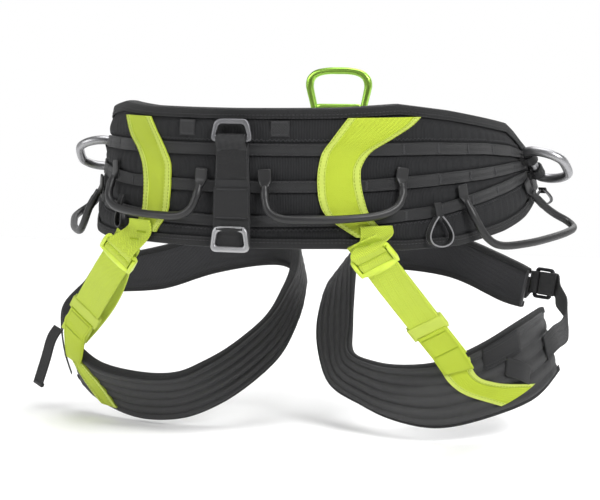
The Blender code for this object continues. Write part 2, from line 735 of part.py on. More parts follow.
# Closing strap of each leg loop: free points, width directions and buckle frame.
LEG_CLOSURE = {
    "right": {
        "start": (40.3, 41.9), "depth": 14.2,
        "points": ((272.0, 40.0, -176.0), (270.0, 58.0, -158.0), (258.0, 76.0, -145.0)),
        "sides": ((-0.25, 0.25, 0.93), (-0.05, 0.35, 0.94), (0.10, 0.25, 0.96)),
        "buckle": (239.0, 93.0, -135.0), "toward": (-0.90, 0.43, 0.04), "up": (0.16, 0.12, 0.98),
    },
    "left": {
        "start": (41.5, 42.0), "depth": 16.5,
        "points": ((-292.0, -8.0, -203.0), (-301.0, 18.0, -182.0), (-288.0, 46.0, -160.0)),
        "sides": ((0.05, -0.30, 0.95), (-0.10, 0.30, 0.95), (-0.10, 0.30, 0.95)),
        "buckle": (-270.0, 70.0, -147.0), "toward": (0.76, 0.62, 0.10), "up": (-0.10, 0.02, 0.99),
    },
}
CLOSURE_WIDTH = 25.0
TAIL_LEFT = ((-289.0, -40.0, -202.0), (-296.0, -42.0, -226.0), (-305.0, -44.0, -254.0))


def make_closure(word, band, pivot):
    """Buckle, its bar and the strap that closes a leg loop."""
    data = LEG_CLOSURE[word]
    first = [band_at(band, f, 0.5, data["depth"]) for f in data["start"]]
    sides = [unit(band[1][int(f)] - band[0][int(f)]) for f in data["start"]]
    centre = np.array(data["buckle"])
    toward = unit(data["toward"])
    up = unit(np.array(data["up"]) - toward * np.dot(data["up"], toward))
    out = unit(np.cross(up, toward))
    if np.dot(out, centre * (1.0, 1.0, 0.0)) < 0.0:
        out = -out
    stop = centre - toward * 15.5
    path = first + [np.array(p) for p in data["points"]] + [stop]
    sides = sides + [np.array(v) for v in data["sides"]] + [up]
    path_fine, sides_fine = refine(path, sides)
    points, faces = ribbon(path_fine, sides_fine, CLOSURE_WIDTH, 1.8, None, centre * (0.5, 0.0, 1.0))
    make_node("leg_closure_strap_" + word, points, faces, "black_webbing", pivot)
    outline = trapezoid(CLOSURE_WIDTH + 9.0, CLOSURE_WIDTH + 9.0, 24.0, 4.0, 2)
    hole = trapezoid(CLOSURE_WIDTH + 1.0, CLOSURE_WIDTH + 1.0, 15.0, 1.5, 2)
    points, faces = plate(outline, hole, centre + out * 1.0, up, toward, out, 4.0, 0.8)
    make_node("leg_buckle_frame_" + word, points, faces, "dark_metal", pivot)
    points, faces = plate_bar(centre + out * 1.0, up, toward, out, CLOSURE_WIDTH + 0.2, 6.0, 2.4)
    make_node("leg_buckle_bar_" + word, points, faces, "dark_metal", centre + out * 1.0)


def refine(path, sides):
    """Smooth path with matching side directions."""
    path = [np.asarray(p, float) for p in path]
    fine = smooth_path(path, 3)
    turned = []
    for i in range(len(path) - 1):
        for k in range(3):
            s = k / 3.0
            turned.append(unit(sides[i] * (1.0 - s) + sides[i + 1] * s))
    turned.append(unit(sides[-1]))
    return fine, turned


def plate_bar(centre, along, across, out, length, width, thick):
    """Flat bar with softened corners."""
    half = length / 2
    w, t, c = width / 2, thick / 2, 0.6
    profile = (
        (-w, -t + c), (-w + c, -t), (w - c, -t), (w, -t + c),
        (w, t - c), (w - c, t), (-w + c, t), (-w, t - c),
    )
    sections = []
    for place in (-half, half):
        sections.append([centre + along * place + across * a + out * b for a, b in profile])
    return sweep(sections)


def make_tails(bands):
    """Keeper panel and stitched tail on the right pad, hanging tail at the left."""
    band = bands["right"]
    pivot = LEG_PIVOT["right"]
    panel = [[band_at(band, f, share, LEG_TOP[0]) for f in (35.9, 37.2, 38.2)] for share in (0.70, 0.95)]
    cover = [[band_at(band, f, share, LEG_TOP[1]) for f in (35.9, 37.2, 38.2)] for share in (0.70, 0.95)]
    points, faces = slab(panel, cover)
    make_node("leg_keeper_panel_right", points, faces, "black_fabric", pivot)
    hang = [np.array(p) for p in TAIL_LEFT]
    sides = [unit((0.80, -0.55, -0.2))] * len(hang)
    points, faces = ribbon(hang, sides, 15.0, 2.6, None, np.array([0.0, 0.0, -900.0]))
    make_node("leg_tail_left", points, faces, "black_webbing", LEG_PIVOT["left"])


# Front of the harness: strap heights, ring centre and waist buckles.
FRONT_V = ((362.0, -10.0), (430.0, -2.0), (520.0, 8.0), (640.0, 8.0))
FRONT_HALF = 15.0
RING_X = -3.0
RING_Y = 122.0
RING_LOW = 34.0
RING_BAR = 54.0
RING_TOP = 99.0


def front_height(u):
    """Middle height of a front strap."""
    return float(np.interp(abs(u), [p[0] for p in FRONT_V], [p[1] for p in FRONT_V]))


def front_parts():
    """Front straps, their buckles and the webbing bridge under the front ring."""
    for word, side, end in (("right", 1.0, FRONT_RIGHT - 27.0), ("left", -1.0, -FRONT_LEFT - 24.0)):
        stations = run_of(362.0 * side, end * side, 13.0)
        grid = [[(u, front_height(u) + w) for u in stations] for w in (-FRONT_HALF, FRONT_HALF)]
        points, faces = belt_sheet(grid, BAND)
        make_node("front_strap_" + word, points, faces, "black_webbing")
        place = 455.0 if side > 0 else 425.0
        u = side * place
        v = front_height(u)
        along, up, out = belt_frame(u, v)
        centre = belt_point(u, v, 19.4)
        outline = trapezoid(40.0, 40.0, 34.0, 5.0, 2)
        hole = trapezoid(31.5, 31.5, 22.0, 1.5, 2)
        points, faces = plate(outline, hole, centre, up, along, out, 4.0, 0.8)
        make_node("waist_buckle_" + word, points, faces, "dark_metal")


def ventral_parts():
    """Pear shaped front ring with a cross bar and the bridge round its foot."""
    x, y = RING_X, RING_Y
    middle = (RING_LOW + RING_TOP) / 2
    outline = [(-30.0, -31.0), (-26.0, -33.0), (26.0, -33.0), (30.0, -31.0), (32.0, -26.0), (33.5, -12.0),
               (37.5, 4.0), (39.0, 13.0), (36.5, 22.0), (28.0, 29.0), (14.0, 32.0), (0.0, 32.5)]
    outline += [(-a, b) for a, b in reversed(outline[4:-1])]
    hole = [(-23.5, -24.5), (-22.0, -26.0), (22.0, -26.0), (23.5, -24.5), (24.0, -21.0), (25.5, -12.0),
            (29.0, 4.0), (30.0, 12.0), (28.0, 18.5), (22.0, 22.5), (12.0, 24.3), (0.0, 24.5)]
    hole += [(-a, b) for a, b in reversed(hole[4:-1])]
    centre = np.array([x, y, middle])
    right, up, out = np.array([1.0, 0, 0]), np.array([0, 0, 1.0]), np.array([0, 1.0, 0])
    points, faces = plate(outline, hole, centre, right, up, out, 8.0, 1.6)
    pivot = (x, y, RING_LOW + 2.6)
    ring = make_node("ventral_ring", points, faces, "green_anodised", pivot)
    bar_centre = np.array([x, y, RING_BAR])
    points, faces = plate_bar(bar_centre, right, up, out, 54.0, 7.0, 6.6)
    bar = make_node("ventral_ring_bar_stock", points, faces, "green_anodised")
    join = ring.modifiers.new("bar", "BOOLEAN")
    join.operation = "UNION"
    join.solver = "EXACT"
    join.object = bar
    bpy.context.view_layer.update()
    shape = ring.evaluated_get(bpy.context.evaluated_depsgraph_get())
    joined = bpy.data.meshes.new_from_object(shape)
    ring.modifiers.clear()
    ring.data = joined
    bpy.data.objects.remove(bar, do_unlink=True)
    sections = []
    core = np.array([x, y, RING_LOW + 2.6])
    for turn in np.linspace(-math.radians(160.0), math.radians(160.0), 13):
        spoke = -up * math.cos(turn) + out * math.sin(turn)
        row = []
        for along, reach in ((-18.0, 6.6), (18.0, 6.6), (18.0, 8.8), (-18.0, 8.8)):
            row.append(core + right * along + spoke * reach)
        sections.append(row)
    points, faces = sweep(sections)
    make_node("ventral_bridge", points, faces, "black_webbing")


def risers():
    """Webbing from the front bridge down to the front of each leg loop."""
    for word, side in (("right", 1.0), ("left", -1.0)):
        path = [(18.0 * side - 3.0, 129.0, 16.0), (44.0 * side, 129.0, -16.0), (74.0 * side, 128.0, -50.0),
                (98.0 * side, 126.0, -84.0)]
        path = [np.array(p) for p in path]
        across = unit((0.75, 0.0, 0.65 * side))
        points, faces = ribbon(smooth_path(path, 2), [across] * 7, 24.0, 1.8, None, np.array([0, 500.0, 0]))
        make_node("riser_" + word, points, faces, "black_webbing")


def build_all():
    """Make every sub-part of the saddle."""
    clear_scene()
    waist_layers()
    waist_bands()
    waist_patches()
    belt_trims()
    dorsal_parts()
    dorsal_rings()
    lateral_rings()
    gear_loops()
    accessory_loops()
    hip_parts()
    leg_loops()
    front_parts()
    ventral_parts()
    risers()


build_all()
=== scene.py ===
"""Tree climbing saddle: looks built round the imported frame.

Lengths are in millimetres until a mesh is made. World frame: X to the wearer's
right, Y to the wearer's front, Z up.
"""
import math

import bpy
import numpy as np
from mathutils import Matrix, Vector


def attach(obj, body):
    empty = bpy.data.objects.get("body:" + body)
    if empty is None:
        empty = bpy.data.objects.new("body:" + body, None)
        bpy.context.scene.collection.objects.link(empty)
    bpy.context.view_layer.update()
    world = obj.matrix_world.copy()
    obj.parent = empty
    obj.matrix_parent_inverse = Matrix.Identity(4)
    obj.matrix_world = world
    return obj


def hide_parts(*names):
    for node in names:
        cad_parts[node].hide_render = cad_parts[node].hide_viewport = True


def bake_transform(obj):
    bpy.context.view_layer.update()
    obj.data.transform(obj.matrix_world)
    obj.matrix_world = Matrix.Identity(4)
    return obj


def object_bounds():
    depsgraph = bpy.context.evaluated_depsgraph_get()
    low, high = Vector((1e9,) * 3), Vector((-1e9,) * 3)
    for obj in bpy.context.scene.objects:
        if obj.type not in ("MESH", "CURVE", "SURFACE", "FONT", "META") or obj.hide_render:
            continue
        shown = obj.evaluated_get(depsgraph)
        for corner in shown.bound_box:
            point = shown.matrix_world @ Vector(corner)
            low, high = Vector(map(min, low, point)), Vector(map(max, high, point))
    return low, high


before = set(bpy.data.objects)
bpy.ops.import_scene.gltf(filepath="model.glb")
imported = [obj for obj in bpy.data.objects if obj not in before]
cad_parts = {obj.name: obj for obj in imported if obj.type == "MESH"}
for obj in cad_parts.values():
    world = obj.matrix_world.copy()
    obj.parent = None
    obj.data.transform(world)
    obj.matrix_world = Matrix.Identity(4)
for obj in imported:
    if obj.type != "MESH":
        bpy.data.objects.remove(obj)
CAD_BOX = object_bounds()

MM = 0.001

# ---------------------------------------------------------------- camera
AZIMUTH = math.radians(17.0)
ELEVATION = math.radians(4.0)
DISTANCE = 2000.0
AIM_RIGHT = -10.8
AIM_UP = -95.6
LENS = 111.1
HORIZON_LIGHT = 1.0
SKY_LIGHT = 0.25
ROOM_SIDE = 0.35
FLOOR_HALF = 1.5

# ---------------------------------------------------------------- belt pattern
WIDTH_RIGHT = 228.0
WIDTH_LEFT = 199.0
DEPTH_BACK = 235.0
DEPTH_FRONT = 108.0
FLARE_BACK = 0.05
FLARE_SIDE = 0.18
BELT_END = 360.0
EDGE_U = (0.0, 95.0, 155.0, 212.0, 271.0, 300.0, 315.0, 330.0, 360.0)
TOP_V = (65.5, 66.0, 69.0, 61.8, 52.0, 47.0, 39.0, 29.0, 13.0)
BOTTOM_V = (-64.5, -64.5, -67.5, -66.0, -57.0, -50.5, -46.5, -41.0, -30.0)
BAND_U = (0.0, 120.0, 185.0, 215.0, 255.0, 300.0, 333.0)
BANDS = {
    "waist_band_upper": ((22.5, 34.0), (22.0, 34.0), (21.5, 33.5), (20.5, 32.0),
                         (19.0, 30.0), (14.5, 25.0), (10.5, 17.5)),
    "waist_band_middle": ((-13.0, -1.5), (-12.0, -0.5), (-8.5, 3.0), (-7.0, 4.5),
                          (-5.0, 6.0), (-2.0, 8.0), (0.0, 8.0)),
    "waist_band_lower": ((-45.5, -34.5), (-43.5, -32.5), (-38.5, -27.5), (-32.5, -21.5),
                         (-25.0, -14.0), (-17.0, -6.5), (-11.0, -2.5)),
}
TRIM_RIGHT = (
    (104.0, 176.0, 58.0), (97.0, 165.0, 49.0), (89.0, 146.0, 38.0), (80.5, 125.0, 25.8),
    (77.0, 116.0, 13.0), (75.8, 114.5, 2.0), (76.0, 115.5, -9.0), (77.5, 118.0, -21.0),
    (82.0, 121.3, -32.0), (92.0, 128.0, -42.0), (103.0, 137.0, -50.0), (110.0, 142.0, -55.0),
)
TRIM_LEFT = (
    (-95.0, -141.0, 57.0), (-89.0, -136.0, 49.0), (-81.0, -128.0, 38.6), (-72.0, -113.0, 25.8),
    (-65.0, -104.0, 13.0), (-64.2, -100.5, 2.0), (-64.1, -99.0, -9.0), (-64.8, -98.6, -21.0),
    (-66.0, -99.0, -32.0), (-71.0, -103.0, -42.0), (-77.0, -108.0, -50.0), (-80.0, -111.0, -55.0),
)

# ---------------------------------------------------------------- leg loop pattern
LEG_RIGHT = (
    ((214, 84, -160), (222, 86, -119)), ((190, 92, -155), (200, 94, -110)),
    ((134, 104, -134), (136, 106, -88)), ((76, 100, -126), (82, 104, -82)),
    ((34, 84, -126), (48, 92, -92)), ((13, 48, -146), (38, 62, -116)),
    ((11, 4, -178), (44, 22, -152)), ((19, -22, -206), (50, -4, -180)),
    ((42, -46, -236), (60, -34, -200)), ((80, -63, -249), (86, -57, -204)),
    ((120, -79, -259), (122, -77, -203)), ((166, -84, -262), (165, -87, -195)),
    ((214, -63, -251), (203, -68, -178)), ((248, -32, -238), (232, -30, -160)),
    ((266, 2, -216), (246, 12, -152)),
)
LEG_LEFT = (
    ((-254, 60, -160), (-246, 64, -118)), ((-202, 82, -157), (-202, 84, -108)),
    ((-150, 96, -140), (-148, 98, -92)), ((-96, 98, -128), (-98, 102, -84)),
    ((-56, 74, -124), (-62, 82, -90)), ((-29, 42, -132), (-40, 52, -98)),
    ((-20, 12, -157), (-31, 24, -119)), ((-20, -14, -183), (-31, -8, -140)),
    ((-30, -40, -212), (-40, -38, -166)), ((-60, -65, -240), (-66, -72, -192)),
    ((-92, -77, -258), (-92, -94, -208)), ((-126, -82, -268), (-118, -106, -218)),
    ((-170, -74, -270), (-160, -102, -220)), ((-216, -58, -258), (-210, -88, -214)),
    ((-250, -36, -240), (-252, -62, -196)),
)
LEG_COUNT = 43
LEG_TRIM = {
    "right": ((33.1, 34.9, 0.97, 0.95), (33.3, 35.0, 0.80, 0.76), (33.8, 35.3, 0.60, 0.62),
              (34.5, 35.9, 0.42, 0.50), (35.4, 37.0, 0.26, 0.36), (36.4, 39.0, 0.10, 0.18)),
    "left": ((41.6, 40.2, 0.95, 0.97), (41.2, 39.6, 0.72, 0.86), (40.6, 38.8, 0.50, 0.70),
             (39.9, 38.2, 0.32, 0.50), (39.2, 37.7, 0.16, 0.30), (38.6, 37.3, 0.04, 0.12)),
}


# ================================================================ geometry
def unit(v):
    """Vector of length one."""
    v = np.asarray(v, float)
    return v / max(float(np.linalg.norm(v)), 1e-9)


def plan_table():
    """Angle against distance along the outline of the belt from the back centre."""
    angle = np.linspace(-math.pi, math.pi, 7201)
    depth = np.where(np.abs(angle) <= math.pi / 2, DEPTH_BACK, DEPTH_FRONT)
    x = np.where(angle < 0.0, WIDTH_LEFT, WIDTH_RIGHT) * np.sin(angle)
    y = -depth * np.cos(angle)
    walk = np.concatenate([[0.0], np.cumsum(np.hypot(np.diff(x), np.diff(y)))])
    walk -= np.interp(0.0, angle, walk)
    return angle, walk


ANGLES, WALK = plan_table()
FRONT_RIGHT = float(WALK[-1])
FRONT_LEFT = float(WALK[0])


def belt_point(u, v, n):
    """Point at distance u round the belt, height v and depth n outward."""
    angle = float(np.interp(u, WALK, ANGLES))
    depth = DEPTH_BACK if abs(angle) <= math.pi / 2 else DEPTH_FRONT
    width = WIDTH_RIGHT if angle >= 0.0 else WIDTH_LEFT
    x = width * math.sin(angle)
    y = -depth * math.cos(angle)
    out = unit((math.sin(angle) / width, -math.cos(angle) / depth))
    flare = FLARE_BACK + (FLARE_SIDE - FLARE_BACK) * math.sin(angle) ** 2
    offset = n - v * flare
    return np.array([x + out[0] * offset, y + out[1] * offset, v])


def belt_frame(u, v):
    """Directions along the belt, up its face and outward at a place on it."""
    along = unit(belt_point(u + 1.0, v, 0.0) - belt_point(u - 1.0, v, 0.0))
    up = unit(belt_point(u, v + 1.0, 0.0) - belt_point(u, v - 1.0, 0.0))
    out = unit(belt_point(u, v, 1.0) - belt_point(u, v, 0.0))
    return along, up, out


def top_edge(u):
    """Height of the belt's top edge."""
    return float(np.interp(abs(u), EDGE_U, TOP_V))


def bottom_edge(u):
    """Height of the belt's bottom edge."""
    return float(np.interp(abs(u), EDGE_U, BOTTOM_V))


def band_edge(name, u, side):
    """Lower (0) or upper (1) edge height of a belt band."""
    return float(np.interp(abs(u), BAND_U, [row[side] for row in BANDS[name]]))


def smooth_path(points, per_span=4, closed=False):
    """Curve through control points."""
    pts = [np.asarray(p, float) for p in points]
    total = len(pts)
    out = []
    for i in range(total if closed else total - 1):
        if closed:
            a, b, c, d = (pts[(i + k) % total] for k in (-1, 0, 1, 2))
        else:
            a, b, c, d = pts[max(i - 1, 0)], pts[i], pts[i + 1], pts[min(i + 2, total - 1)]
        for k in range(per_span):
            s = k / per_span
            out.append(0.5 * (2 * b + (c - a) * s + (2 * a - 5 * b + 4 * c - d) * s ** 2
                              + (3 * b - a - 3 * c + d) * s ** 3))
    if not closed:
        out.append(pts[-1])
    return out


def resample(stations, count):
    """Even smooth stations of a padded leg band."""
    low = smooth_path([s[0] for s in stations], 6)
    high = smooth_path([s[1] for s in stations], 6)
    chosen = [int(round(i)) for i in np.linspace(0, len(low) - 1, count)]
    return [low[i] for i in chosen], [high[i] for i in chosen]


def band_normals(low, high, centre):
    """Outward directions of a band, pointing away from the thigh."""
    normals = []
    total = len(low)
    for i in range(total):
        a, b = max(i - 1, 0), min(i + 1, total - 1)
        tangent = unit((low[b] + high[b]) - (low[a] + high[a]))
        normal = unit(np.cross(tangent, unit(high[i] - low[i])))
        away = (low[i] + high[i]) / 2 - centre
        away[2] = 0.0
        if np.dot(normal, away) < 0.0:
            normal = -normal
        normals.append(normal)
    return normals


def leg_band(word):
    """Edges and outward directions of one leg loop."""
    low, high = resample(LEG_RIGHT if word == "right" else LEG_LEFT, LEG_COUNT)
    centre = np.mean([(a + b) / 2 for a, b in zip(low, high)], axis=0)
    return low, high, band_normals(low, high, centre)


LEG_BANDS = {"right": leg_band("right"), "left": leg_band("left")}


def cubic(values, place):
    """Smooth value of a list of vectors at a fractional index."""
    last = len(values) - 1
    i = min(max(int(place), 0), last - 1)
    s = place - i
    a, b, c, d = values[max(i - 1, 0)], values[i], values[i + 1], values[min(i + 2, last)]
    return 0.5 * (2 * b + (c - a) * s + (2 * a - 5 * b + 4 * c - d) * s ** 2
                  + (3 * b - a - 3 * c + d) * s ** 3)


def band_at(word, place, share, depth):
    """Point on a leg band at a fractional station, share of width and depth."""
    low, high, normals = LEG_BANDS[word]
    foot, head = cubic(low, place), cubic(high, place)
    return foot + (head - foot) * share + unit(cubic(normals, place)) * depth


# ================================================================ mesh kit
def finish_mesh(name, points, faces, uvs, material, body, smooth=True):
    """Object from points in millimetres that rides on a body of the frame."""
    mesh = bpy.data.meshes.new(name)
    mesh.from_pydata([tuple(np.asarray(p, float) * MM) for p in points], [], faces)
    if uvs is not None:
        layer = mesh.uv_layers.new(name="weave")
        index = np.empty(len(mesh.loops), dtype=np.int64)
        mesh.loops.foreach_get("vertex_index", index)
        layer.data.foreach_set("uv", np.asarray(uvs, float)[index].reshape(-1))
    if smooth:
        mesh.polygons.foreach_set("use_smooth", [True] * len(mesh.polygons))
    mesh.materials.append(material)
    mesh.update()
    piece = bpy.data.objects.new(name, mesh)
    bpy.context.scene.collection.objects.link(piece)
    face_out(piece)
    if body:
        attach(piece, body)
    return piece


def face_out(piece):
    """Turn the faces outward when the closed mesh encloses a negative volume."""
    mesh = piece.data
    co = np.empty(len(mesh.vertices) * 3)
    mesh.vertices.foreach_get("co", co)
    co = co.reshape(-1, 3)
    mesh.calc_loop_triangles()
    tri = np.empty(len(mesh.loop_triangles) * 3, dtype=np.int64)
    mesh.loop_triangles.foreach_get("vertices", tri)
    tri = tri.reshape(-1, 3)
    volume = np.einsum("ij,ij->i", co[tri[:, 0]], np.cross(co[tri[:, 1]], co[tri[:, 2]])).sum()
    if volume < 0.0:
        mesh.flip_normals()


def loft(name, rings, material, body, closed=False, across=None, smooth=True):
    """Closed body through rings of points, with length and girth as cloth coordinates."""
    rings = np.asarray(rings, float)
    total, count = rings.shape[:2]
    middle = rings.mean(axis=1)
    step = np.linalg.norm(np.diff(middle, axis=0), axis=1)
    walk = np.concatenate([[0.0], np.cumsum(step)])
    if across is None:
        girth = np.linalg.norm(np.diff(rings[total // 2], axis=0), axis=1)
        across = np.concatenate([[0.0], np.cumsum(girth)])
    uvs = [(walk[i], across[k]) for i in range(total) for k in range(count)]
    faces = []
    for i in range(total if closed else total - 1):
        j = (i + 1) % total
        for k in range(count):
            m = (k + 1) % count
            faces.append((i * count + k, i * count + m, j * count + m, j * count + k))
    if not closed:
        faces.append(tuple(range(count - 1, -1, -1)))
        faces.append(tuple((total - 1) * count + k for k in range(count)))
    return finish_mesh(name, rings.reshape(-1, 3), faces, uvs, material, body, smooth)


def web_profile(thick, lip=0.12):
    """Half section of webbing: share of half width and height, with rounded edges."""
    return [(-1.0, 0.45 * thick), (-0.985, 0.82 * thick), (-0.945, thick + lip), (-0.88, thick + lip),
            (-0.82, thick), (-0.4, thick), (0.0, thick), (0.4, thick), (0.82, thick),
            (0.88, thick + lip), (0.945, thick + lip), (0.985, 0.82 * thick), (1.0, 0.45 * thick),
            (0.985, 0.1 * thick), (0.93, 0.0), (0.3, 0.0), (-0.3, 0.0), (-0.93, 0.0), (-0.985, 0.1 * thick)]


def strap(name, stations, place, half, thick, material, body, closed=False, lip=0.12):
    """Webbing laid by place(station, across, height), half its width in millimetres."""
    profile = web_profile(thick, lip)
    rings = [[place(st, s, h) for s, h in profile] for st in stations]
    return loft(name, rings, material, body, closed, [s * half for s, h in profile])


def round_path(path, radius, sides, name, material, body, closed=False, flat=None, oval=1.0):
    """Bar of round or oval section along a path."""
    path = [np.asarray(p, float) for p in path]
    total = len(path)
    reference = unit(flat) if flat is not None else None
    rings = []
    for i, p in enumerate(path):
        ahead = path[(i + 1) % total] if closed or i < total - 1 else p
        behind = path[i - 1] if closed or i > 0 else p
        tangent = unit(ahead - behind)
        if reference is None:
            reference = unit(np.cross(tangent, (0.3, 0.2, 0.9)))
        side = unit(reference - tangent * np.dot(reference, tangent))
        if flat is None:
            reference = side
        other = np.cross(tangent, side)
        size = radius[i] if isinstance(radius, (list, tuple, np.ndarray)) else radius
        ring = []
        for k in range(sides):
            turn = 2.0 * math.pi * k / sides
            ring.append(p + side * size * oval * math.cos(turn) + other * size * math.sin(turn))
        rings.append(ring)
    return loft(name, rings, material, body, closed)


# ================================================================ materials
def socket(shader, name, value):
    """Set a shader input when this Blender has it."""
    if name in shader.inputs:
        shader.inputs[name].default_value = value


class Cloth:
    """Small builder for node materials with cloth or object coordinates."""

    def __init__(self, name, colour, rough, metal=0.0, object_space=False):
        self.material = bpy.data.materials.new(name)
        self.material.use_nodes = True
        self.tree = self.material.node_tree
        self.shader = self.tree.nodes["Principled BSDF"]
        self.material.diffuse_color = (*colour, 1.0)
        self.colour = colour
        socket(self.shader, "Roughness", rough)
        socket(self.shader, "Metallic", metal)
        if not metal and rough > 0.5:
            socket(self.shader, "Specular IOR Level", 0.22)
        socket(self.shader, "Base Color", (*colour, 1.0))
        if object_space:
            coordinates = self.tree.nodes.new("ShaderNodeTexCoord").outputs["Object"]
            scale = self.tree.nodes.new("ShaderNodeVectorMath")
            scale.operation = "SCALE"
            scale.inputs["Scale"].default_value = 1000.0
            self.tree.links.new(coordinates, scale.inputs[0])
            self.coordinates = scale.outputs["Vector"]
        else:
            node = self.tree.nodes.new("ShaderNodeUVMap")
            node.uv_map = "weave"
            self.coordinates = node.outputs["UV"]
        split = self.tree.nodes.new("ShaderNodeSeparateXYZ")
        self.tree.links.new(self.coordinates, split.inputs[0])
        self.x, self.y, self.z = split.outputs

    def maths(self, operation, a, b=None, clamp=False):
        """Math node on sockets or numbers."""
        node = self.tree.nodes.new("ShaderNodeMath")
        node.operation = operation
        node.use_clamp = clamp
        for i, value in enumerate((a, b)):
            if value is None:
                continue
            if isinstance(value, (int, float)):
                node.inputs[i].default_value = value
            else:
                self.tree.links.new(value, node.inputs[i])
        return node.outputs[0]

    def ridges(self, along, period, shift=0.0):
        """Sine ridges from 0 to 1 of a stated period in millimetres."""
        turned = self.maths("MULTIPLY_ADD", along, 2.0 * math.pi / period)
        turned.node.inputs[2].default_value = shift
        wave = self.maths("SINE", turned)
        half = self.maths("MULTIPLY_ADD", wave, 0.5)
        half.node.inputs[2].default_value = 0.5
        return half

    def noise(self, scale, detail=2.0, rough=0.5, stretch=None):
        """Noise factor with features of about 1 over scale millimetres."""
        node = self.tree.nodes.new("ShaderNodeTexNoise")
        node.inputs["Scale"].default_value = scale
        node.inputs["Detail"].default_value = detail
        node.inputs["Roughness"].default_value = rough
        source = self.coordinates
        if stretch:
            mapping = self.tree.nodes.new("ShaderNodeVectorMath")
            mapping.operation = "MULTIPLY"
            mapping.inputs[1].default_value = stretch
            self.tree.links.new(self.coordinates, mapping.inputs[0])
            source = mapping.outputs["Vector"]
        self.tree.links.new(source, node.inputs["Vector"])
        return node.outputs["Fac"]

    def shades(self, factor, dark, light, low=0.0, high=1.0):
        """Base colour between two shades by a factor."""
        node = self.tree.nodes.new("ShaderNodeMapRange")
        node.inputs["From Min"].default_value = low
        node.inputs["From Max"].default_value = high
        self.tree.links.new(factor, node.inputs["Value"])
        mix = self.tree.nodes.new("ShaderNodeMix")
        mix.data_type = "RGBA"
        mix.inputs[6].default_value = (*dark, 1.0)
        mix.inputs[7].default_value = (*light, 1.0)
        self.tree.links.new(node.outputs[0], mix.inputs[0])
        return mix.outputs[2]

    def mix_colour(self, factor, a, b):
        """Mix two colour sockets or tuples by a factor."""
        mix = self.tree.nodes.new("ShaderNodeMix")
        mix.data_type = "RGBA"
        self.tree.links.new(factor, mix.inputs[0])
        for slot, value in ((6, a), (7, b)):
            if isinstance(value, tuple):
                mix.inputs[slot].default_value = (*value, 1.0)
            else:
                self.tree.links.new(value, mix.inputs[slot])
        return mix.outputs[2]

    def base(self, colour_socket):
        """Drive the base colour."""
        self.tree.links.new(colour_socket, self.shader.inputs["Base Color"])

    def roughness(self, factor, low, high):
        """Drive the roughness between two values."""
        node = self.tree.nodes.new("ShaderNodeMapRange")
        node.inputs["To Min"].default_value = low
        node.inputs["To Max"].default_value = high
        self.tree.links.new(factor, node.inputs["Value"])
        self.tree.links.new(node.outputs[0], self.shader.inputs["Roughness"])

    def bump(self, height, strength, depth_mm):
        """Surface relief from a height from 0 to 1."""
        node = self.tree.nodes.new("ShaderNodeBump")
        node.inputs["Strength"].default_value = strength
        node.inputs["Distance"].default_value = depth_mm * MM
        self.tree.links.new(height, node.inputs["Height"])
        self.tree.links.new(node.outputs[0], self.shader.inputs["Normal"])

    def sheen(self, weight, rough=0.4):
        """Soft rim of short fibres."""
        socket(self.shader, "Sheen Weight", weight)
        socket(self.shader, "Sheen Roughness", rough)


def scaled(colour, factor):
    """Colour made darker or lighter."""
    return tuple(min(1.0, c * factor) for c in colour)


def ribbed_cloth(name, colour, period=1.5, rough=0.78, gloss=0.22):
    """Laminate with fine ribs across the belt and a slight bloom."""
    m = Cloth(name, colour, rough)
    socket(m.shader, "Specular IOR Level", gloss)
    ribs = m.ridges(m.x, period)
    cross = m.ridges(m.y, 0.7)
    worn = m.noise(0.03, 3.0, 0.6)
    grain = m.noise(1.6, 2.0)
    weave = m.maths("MULTIPLY_ADD", cross, 0.22)
    m.tree.links.new(ribs, weave.node.inputs[2])
    tone = m.maths("MULTIPLY_ADD", grain, 0.5)
    m.tree.links.new(weave, tone.node.inputs[2])
    fibre = m.shades(tone, scaled(colour, 0.35), scaled(colour, 1.9), 0.2, 1.5)
    m.base(m.mix_colour(m.maths("MULTIPLY", worn, 0.35), fibre, scaled(colour, 1.7)))
    m.bump(weave, 0.8, 0.5)
    m.roughness(grain, rough - 0.1, rough + 0.12)
    m.sheen(0.03)
    return m.material


def webbing(name, colour, light=1.5, dark=0.55, gloss=0.55, herring=3.2, pitch=1.5):
    """Herringbone webbing with ribs that turn at each stripe."""
    m = Cloth(name, colour, gloss)
    socket(m.shader, "Specular IOR Level", 0.4)
    fold = m.maths("PINGPONG", m.maths("ADD", m.y, 60.0), herring)
    diagonal = m.maths("MULTIPLY_ADD", fold, 1.2)
    m.tree.links.new(m.x, diagonal.node.inputs[2])
    twill = m.ridges(diagonal, pitch)
    yarn = m.ridges(m.y, 0.8)
    relief = m.maths("MULTIPLY_ADD", yarn, 0.35)
    m.tree.links.new(twill, relief.node.inputs[2])
    grain = m.noise(0.9, 3.0, 0.6)
    patch = m.noise(0.035, 2.0)
    tone = m.maths("MULTIPLY_ADD", grain, 0.6)
    m.tree.links.new(relief, tone.node.inputs[2])
    fibre = m.shades(tone, scaled(colour, dark), scaled(colour, light), 0.25, 1.6)
    m.base(m.mix_colour(m.maths("MULTIPLY", patch, 0.3), fibre, scaled(colour, light)))
    m.bump(relief, 0.85, 0.5)
    m.roughness(grain, gloss - 0.1, gloss + 0.2)
    m.sheen(0.05)
    return m.material


